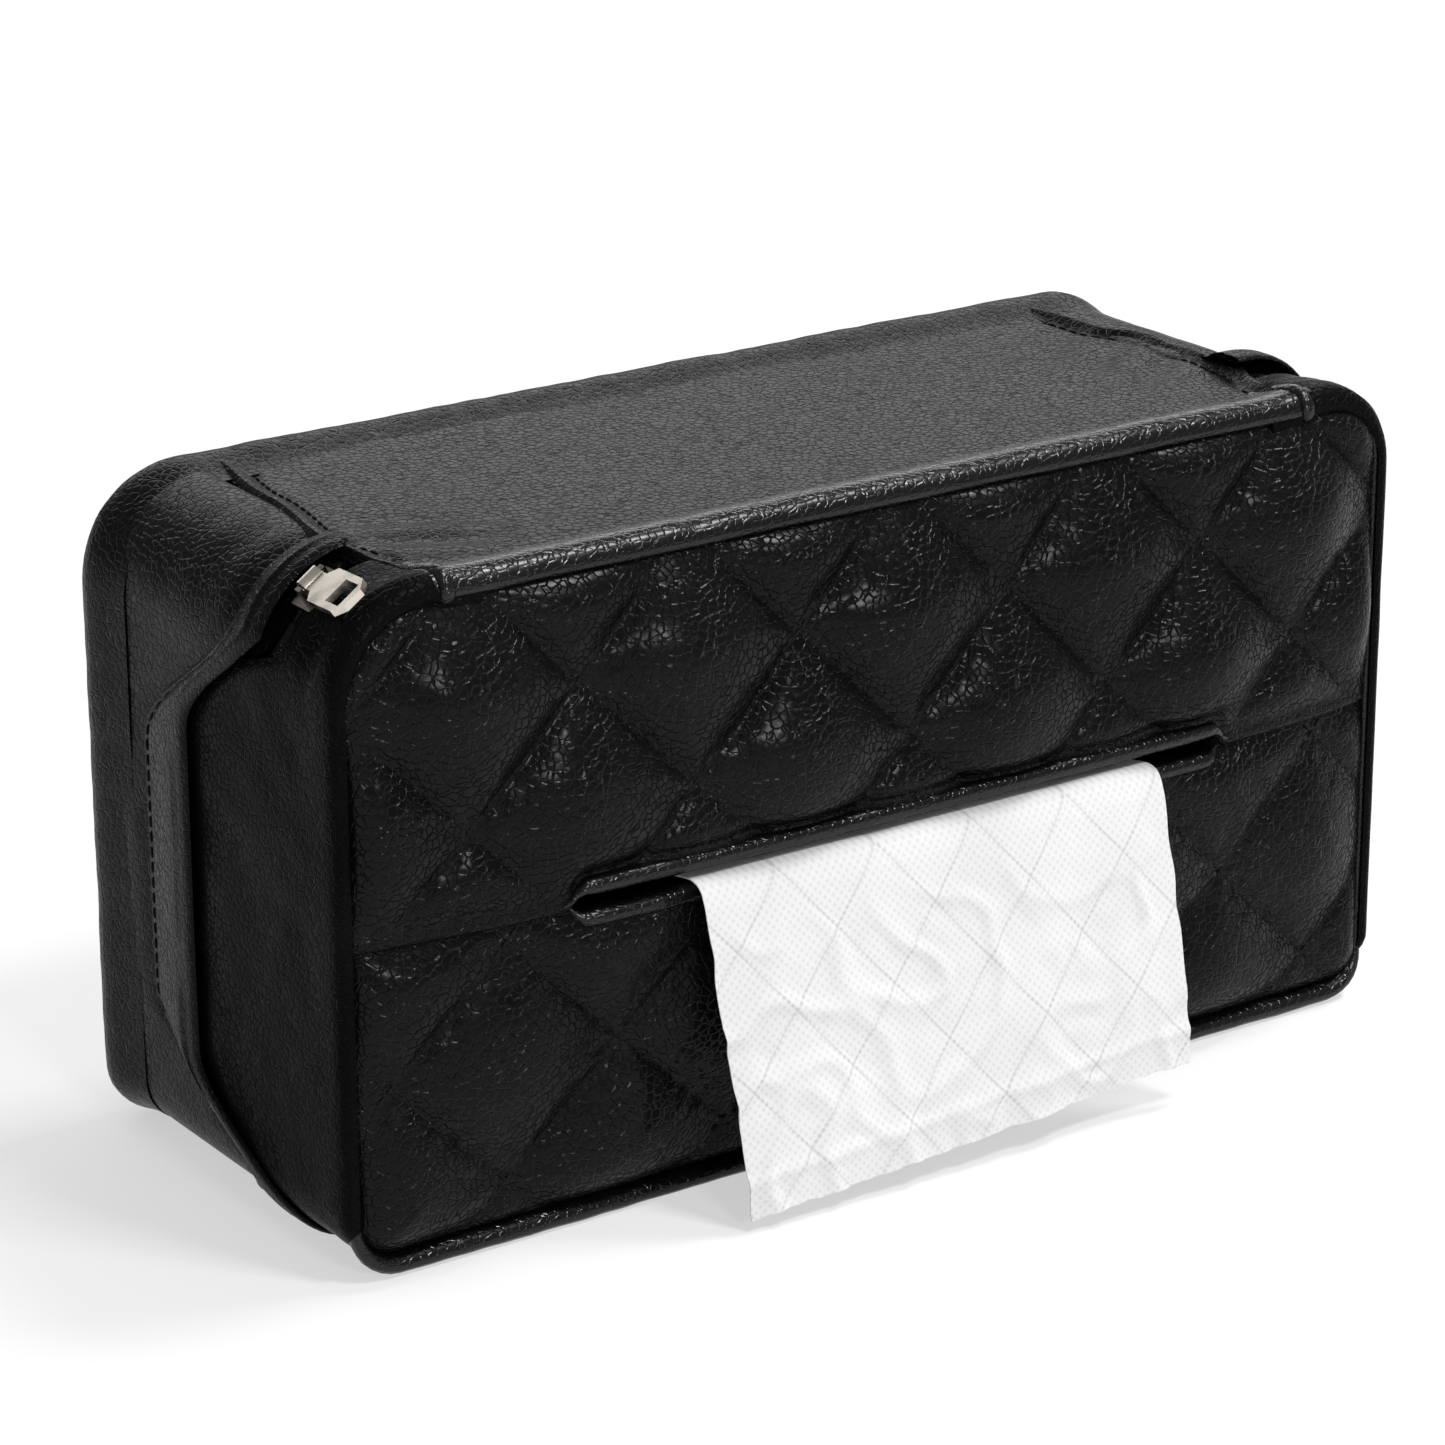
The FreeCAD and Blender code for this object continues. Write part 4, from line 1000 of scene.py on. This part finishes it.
def build_loops():
    """The hems' front ends, rolled over the rim."""
    for name, x in (("hem_loop_left", -95.3), ("hem_loop_right", 97.3)):
        line = [mm(x, FRONT + depth, BAND_HIGH + lift + 0.2) for depth, lift in RIM_TOP[:10]]
        rings = []
        for point, ahead in zip(line, headings(line)):
            out = Vector((1, 0, 0)).cross(ahead).normalized()
            if out.z - out.y < 0:
                out = -out
            rings.append([point + Vector((1.5 * MM * cosine, 0, 0)) + out * (0.95 * MM * sine)
                          for cosine, sine in circle(12)])
        dress(loop_tube(name, rings, sharp=70.0), RIM_SKIN, "front_shell")


def build_topstitch():
    """Stitches beside the hems on the top and along the sewn edge of the flap."""
    rear = []
    front = []
    for hem, sign in ((LEFT_HEM, 1.0), (RIGHT_HEM, -1.0)):
        for step in range(int(TOPSTITCH_RUN / TOPSTITCH_PITCH)):
            ends = []
            for part in (0.14, 0.86):
                y = TOPSTITCH_START + (step + part) * TOPSTITCH_PITCH
                x = along_curve(hem, y) + sign * HEM_SEAM
                ends.append(mm(x, y, top_height(x, y) + 0.12))
            run = (*ends, Vector((0, 0, 1)))
            if ends[1].y < FOLD_END[1]:
                front.append(run)
            elif ends[0].y > FOLD_START[1]:
                rear.append(run)
    along = 6.0
    while along < BAND.length - 6.0:
        ends = []
        for part in (0.0, 2.2):
            x, z, nx, nz = BAND.at(along + part)
            lift = 1.6 if z <= BASE_END else 1.72
            ends.append(over_band(along + part, zip_depth(z) + FLAP_BACK - FLAP_SEAM, lift))
        rear.append((*ends, Vector((nx, 0, nz))))
        along += TOPSTITCH_PITCH
    dress(stitch_mesh("rear_topstitching", rear, TOPSTITCH), THREAD, "rear_shell")
    dress(stitch_mesh("front_topstitching", front, TOPSTITCH), THREAD, "front_shell")


# Back panel and linings

BACK_FACE = 42.6
BACK_COLUMNS = 120
BACK_ROWS = 70
LINING_SLOT = (60.4, 67.6)
LINING_SLOT_SIDE = 75.5
LINING_X = 113.6
LINING_COLUMNS = 96
LINING_ROWS = 22
LINING_DEPTH = 39.0
LINING_END = 38.4
LINING_LIFT = -2.3
LINING_GAP = 0.4
LINING_STEP = 2.0


def build_back():
    places = panel_columns(BACK_COLUMNS)
    verts = []
    for share in spread(0.0, 1.0, BACK_ROWS):
        for x in places:
            low = frame_edge(x, False)
            z = low + (frame_edge(x, True) - low) * share
            edge = edge_distance(x, z)
            rise = 2.6 * (1.0 - falloff(edge, 5.0)) + 3.4 * (1.0 - falloff(edge, 26.0))
            rise += (0.9 * rough(x, 0, z, 34, 51.0) + 0.3 * rough(x, 0, z, 11, 52.0)) * ramp(edge, 0, 8)
            verts.append(mm(x, BACK_FACE + rise, z))
    obj = backed_panel("back_panel_skin", verts, len(places), PANEL_BACK)
    dress(obj, LEATHER_SKIN, "rear_shell", ["back_panel"])


def flat_lining(node, body, level, slotted, seed):
    """A cloth lining behind one of the large faces, cut out where the slot is."""
    inset = PANEL_X - LINING_X
    panel_places = panel_columns(LINING_COLUMNS)
    places = [x * LINING_X / PANEL_X for x in panel_places]
    verts = []
    for part in (0, 1):
        for share in spread(0.0, 1.0, LINING_ROWS):
            for x, panel_x in zip(places, panel_places):
                low = frame_edge(panel_x, False) + inset
                high = frame_edge(panel_x, True) - inset
                start, stop = ((low, LINING_SLOT[0]), (LINING_SLOT[1], high))[part]
                z = start + (stop - start) * share
                verts.append(mm(x, level + 0.12 * rough(x, 0, z, 20, seed), z))

    def skip(row, column):
        middle = (places[column] + places[column + 1]) / 2
        return slotted and row == LINING_ROWS - 1 and abs(middle) < LINING_SLOT_SIDE

    obj = sheet_object(node + "_cloth", verts, grid_faces(2 * LINING_ROWS, len(places), skip=skip))
    area = thicken(obj, CLOTH, offset=0.0)
    dress(obj, LINING_CLOTH, body, [node])


def band_lining(node, body, side, count, seed):
    """A cloth lining round one half of the case, from near its face to the zip."""
    def section(along, x, z):
        ends = sorted((side * LINING_END, zip_depth(z) + side * (ZIP_OPENING + LINING_GAP)))
        return [(y, LINING_LIFT + 0.06 * rough(x, y, z, 8, seed)) for y in spread(*ends, count)]

    places = even_steps(0.0, BAND.total, LINING_STEP)[:-1]
    skin, area = band_sheet(node + "_cloth", places, section, CLOTH, ring=True)
    dress(skin, LINING_CLOTH, body, [node])
    rows = [section(along, *BAND.at(along)[:2]) for along in places]


def build_linings():
    flat_lining("front_lining", "front_shell", -LINING_DEPTH, True, 61.0)
    flat_lining("back_lining", "rear_shell", LINING_DEPTH, False, 62.0)
    band_lining("front_gusset_lining", "front_shell", -1.0, 12, 63.0)
    band_lining("rear_gusset_lining", "rear_shell", 1.0, 16, 64.0)


# Zip

TAPE_START = 0.3
TAPE_STEP = 1.5
TAPE_LIFT = -1.55
FRONT_CHAIN_START = 19.2
REAR_CHAIN_START = 23.8
CHAIN_END = 3.4
COIL_PITCH = 1.7
COIL_POINTS = 8
COIL_LIFT = -0.82
COIL_HIGH = 0.34
COIL_WIDE = 1.15
COIL_MIDDLE = 1.5
COIL_WIRE = 0.27


def tape(node, body, side, start):
    def section(along, x, z):
        inner = zip_depth(z) + side * CHANNEL / 2
        outer = inner + side * TAPE_WIDTH
        return [(y, TAPE_LIFT) for y in spread(*sorted((inner, outer)), 9)]

    places = even_steps(start, BAND.length, TAPE_STEP)
    skin, area = band_sheet(node + "_cloth", places, section, TAPE_THICK)
    dress(skin, TAPE_CLOTH, body, [node])


def coil(name, node, body, side, start):
    """A nylon coil: a fine wire wound along the tape's edge."""
    points = []
    for number in range(int((BAND.length - CHAIN_END - start) / COIL_PITCH * COIL_POINTS)):
        along = start + number * COIL_PITCH / COIL_POINTS
        angle = TURN * number / COIL_POINTS
        out = CHANNEL / 2 + COIL_MIDDLE + COIL_WIDE * math.cos(angle)
        y = zip_depth(BAND.at(along)[1]) + side * out
        points.append(over_band(along, y, COIL_LIFT + COIL_HIGH * math.sin(angle)))
    rings = []
    for point, ahead in zip(points, headings(points)):
        across = ahead.cross(Vector((0.3, 0.9, 0.2))).normalized()
        up = across.cross(ahead).normalized()
        rings.append([point + (across * cosine + up * sine) * (COIL_WIRE * MM)
                      for cosine, sine in circle(5)])
    dress(loop_tube(name, rings, sharp=80.0), NYLON, body, [node])


def build_zip():
    tape("zipper_tape_front", "front_shell", -1.0, TAPE_START)
    tape("zipper_tape_rear", "rear_shell", 1.0, FRONT_CHAIN_START)
    coil("zipper_coil_front", "zipper_teeth_front", "front_shell", -1.0, FRONT_CHAIN_START)
    coil("zipper_coil_rear", "zipper_teeth_rear", "rear_shell", 1.0, REAR_CHAIN_START)


# Tissues

TISSUE_WIDTH = 105.0
TISSUE_SHIFT = 3.0
TISSUE_COLUMNS = 126
TAIL_ROWS = 30
HANGING_ROWS = 80
TISSUE_TAIL = ((-29.5, 61.7), (-38.0, 62.2), (-46.0, 63.4), (-51.5, 64.3), (-54.6, 63.2), (-56.2, 60.0))
HANG_DEPTH = -56.2
HANG_TOP = 60.0
HANG_FORWARD = 11.0
HANG_LOW = 2.6
HANG_SLANT = 5.6
TISSUE_HEM = 6.8
TISSUE_RIDGE = 0.75
PACK_LAYERS = 22
PACK_FOLD = 7
PACK_STEPS = 24


def tissue_tail(across, share):
    """A point of the part of the sheet that comes out of the pack and over the lip."""
    x = TISSUE_SHIFT + across * TISSUE_WIDTH
    y, z = bend(TISSUE_TAIL, share)
    z += 0.2 * rough(x, y, 0, 12, 31.0)
    y += 0.3 * rough(x, 0, 0, 14, 30.0) * share
    return mm(x, y, z)


def tissue_hanging(across, share):
    """A point of the part of the sheet that hangs down in front."""
    x = TISSUE_SHIFT + across * TISSUE_WIDTH
    bottom = HANG_LOW + HANG_SLANT * (across + 0.5)
    bottom += 0.55 * rough(x, 0, 0, 10, 33.0)
    bottom += 0.30 * rough(x, 0, 0, 2.5, 34.0)
    z = HANG_TOP + (bottom - HANG_TOP) * share
    low = z - bottom
    y = HANG_DEPTH - HANG_FORWARD * share ** 0.95
    y += 0.3 * rough(x, 0, 0, 14, 30.0)
    y += share * (1.7 * rough(x, 0, z * 0.25, 26, 35.0) + 0.55 * rough(x, 0, z * 0.5, 9, 36.0))
    y -= 0.55 * hump(low, TISSUE_HEM, 1.2)
    y += 0.5 * ramp(-low, -TISSUE_HEM, 0.0)
    y += 0.22 * rough(x, 0, z, 4.5, 37.0) * ramp(share, 0.0, 0.2)
    ridge = 1.0 - abs(rough(x + 0.6 * z, 0, z - 0.3 * x, 15, 39.0)) * 4.0
    y -= TISSUE_RIDGE * max(ridge, 0.0) * ramp(share, 0.0, 0.25)
    x += share * (1.2 - 2.6 * across)
    x += math.copysign(0.5, across) * rough(0, 0, z, 7, 38.0) * ramp(0.5 - abs(across), 0.06, 0.0)
    return mm(x, y, z)


def build_tissue():
    columns = spread(-0.5, 0.5, TISSUE_COLUMNS + 1)
    verts = [tissue_tail(across, share) for share in spread(0.0, 1.0, TAIL_ROWS + 1) for across in columns]
    verts += [tissue_hanging(across, share) for share in spread(0.0, 1.0, HANGING_ROWS + 1)[1:]
              for across in columns]
    faces = grid_faces(TAIL_ROWS + HANGING_ROWS + 1, len(columns))
    obj = make_object("tissue_sheet_drawn", verts, faces, sharp=80.0)
    area = thicken(obj, PAPER_THICK, offset=0.0, sharp=80.0)
    dress(obj, PAPER, None, ["tissue_sheet"])
    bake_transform(obj)


def build_pack():
    """The folded pack: thin layers with rounded folds at their upper and lower edges."""
    low, high = ([value / MM for value in corner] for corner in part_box("tissue_pack"))
    pitch = (high[1] - low[1]) / PACK_LAYERS
    radius = pitch * 0.47
    verts = []
    faces = []
    for layer in range(PACK_LAYERS):
        middle = low[1] + (layer + 0.5) * pitch
        shift = 0.4 * math.sin(layer * 2.4)
        top = high[2] - 0.3 - abs(0.5 * math.sin(layer * 1.7))
        bottom = low[2] + 0.15 + abs(0.3 * math.sin(layer * 2.9))
        section = []
        for centre, first in ((top - radius, 0.0), (bottom + radius, math.pi)):
            for angle in spread(first, first + math.pi, PACK_FOLD):
                section.append((middle + radius * math.cos(angle), centre + radius * math.sin(angle)))
        faces += tube_faces(PACK_STEPS + 1, len(section), start=len(verts))
        for step in range(PACK_STEPS + 1):
            x = low[0] + 0.4 + shift + (high[0] - low[0] - 1.2) * step / PACK_STEPS
            for y, z in section:
                dip = 0.25 * rough(x, y * 3, 0, 30, 71.0 + layer) if z > 60 else 0.0
                verts.append(mm(x, y, z + dip))
    obj = make_object("tissue_pack_folded", verts, faces, sharp=50.0)
    dress(obj, PAPER, "rear_shell", ["tissue_pack"])


def build_plain_nodes():
    # The slider gets the nickel that is painted darker as painted shade.
    for name, material in (("zipper_slider", PAINTED_SHADE_NICKEL), ("zipper_pull", NICKEL),
                           ("zipper_top_stop", NICKEL), ("front_board", CARD), ("back_board", CARD)):
        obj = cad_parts[name]
        obj.data.materials.clear()
        obj.data.materials.append(material)


# Stage, light and camera


def build_stage():
    corners = [(x * FLOOR_HALF, y * FLOOR_HALF, 0) for x, y in ((-1, -1), (1, -1), (1, 1), (-1, 1))]
    floor = sheet_object("floor", corners, [(0, 1, 2, 3)])
    floor.data.materials.append(white_floor("white_floor"))

    world = bpy.data.worlds.new("studio")
    bpy.context.scene.world = world
    world.use_nodes = True
    sky = world.node_tree.nodes["Background"]
    sky.inputs["Color"].default_value = (1.0, 1.0, 1.0, 1.0)
    sky.inputs["Strength"].default_value = WORLD_LIGHT


def aim(towards):
    return towards.to_track_quat("-Z", "Y").to_matrix().to_4x4()


def add_sun(name, strength, angle, towards):
    data = bpy.data.lights.new(name, "SUN")
    data.energy = strength
    data.angle = math.radians(angle)
    add_object(name, data).matrix_world = aim(-Vector(towards))


def add_area(name, power, size, place, target):
    data = bpy.data.lights.new(name, "AREA")
    data.energy = power
    data.shape = "RECTANGLE"
    data.size, data.size_y = size
    place = Vector(place)
    turn = aim(Vector(target) - place)
    add_object(name, data).matrix_world = Matrix.Translation(place) @ turn


def build_lights():
    add_sun("soft_key", 1.4, 13.0, (0.45, -0.05, 0.89))
    add_area("top_softbox", 12.0, (0.30, 0.24), (0.30, -0.76, 1.45), CASE_MIDDLE)
    add_area("front_softbox", 7.0, (0.26, 0.20), (-0.25, -1.55, 0.72), CASE_MIDDLE)
    add_area("back_softbox", 14.0, (2.4, 0.9), (0.9, 1.7, 1.0), CASE_UPPER)


def add_camera():
    data = bpy.data.cameras.new("camera")
    data.sensor_fit = "HORIZONTAL"
    data.sensor_width = CAMERA_SENSOR
    data.lens = CAMERA_LENS
    data.clip_start = 0.01
    data.clip_end = 50.0
    camera = add_object("camera", data)
    place = mm(*CAMERA_PLACE)
    roll = Matrix.Rotation(math.radians(CAMERA_ROLL), 4, "Z")
    camera.matrix_world = Matrix.Translation(place) @ aim(mm(*CAMERA_TARGET) - place) @ roll
    bpy.context.scene.camera = camera


build_front()
build_lips()
build_rims()
build_gussets()
build_top()
build_loops()
build_topstitch()
build_back()
build_linings()
build_zip()
build_tissue()
build_pack()
build_plain_nodes()
build_stage()
build_lights()
add_camera()
bpy.context.scene.view_settings.view_transform = "Standard"
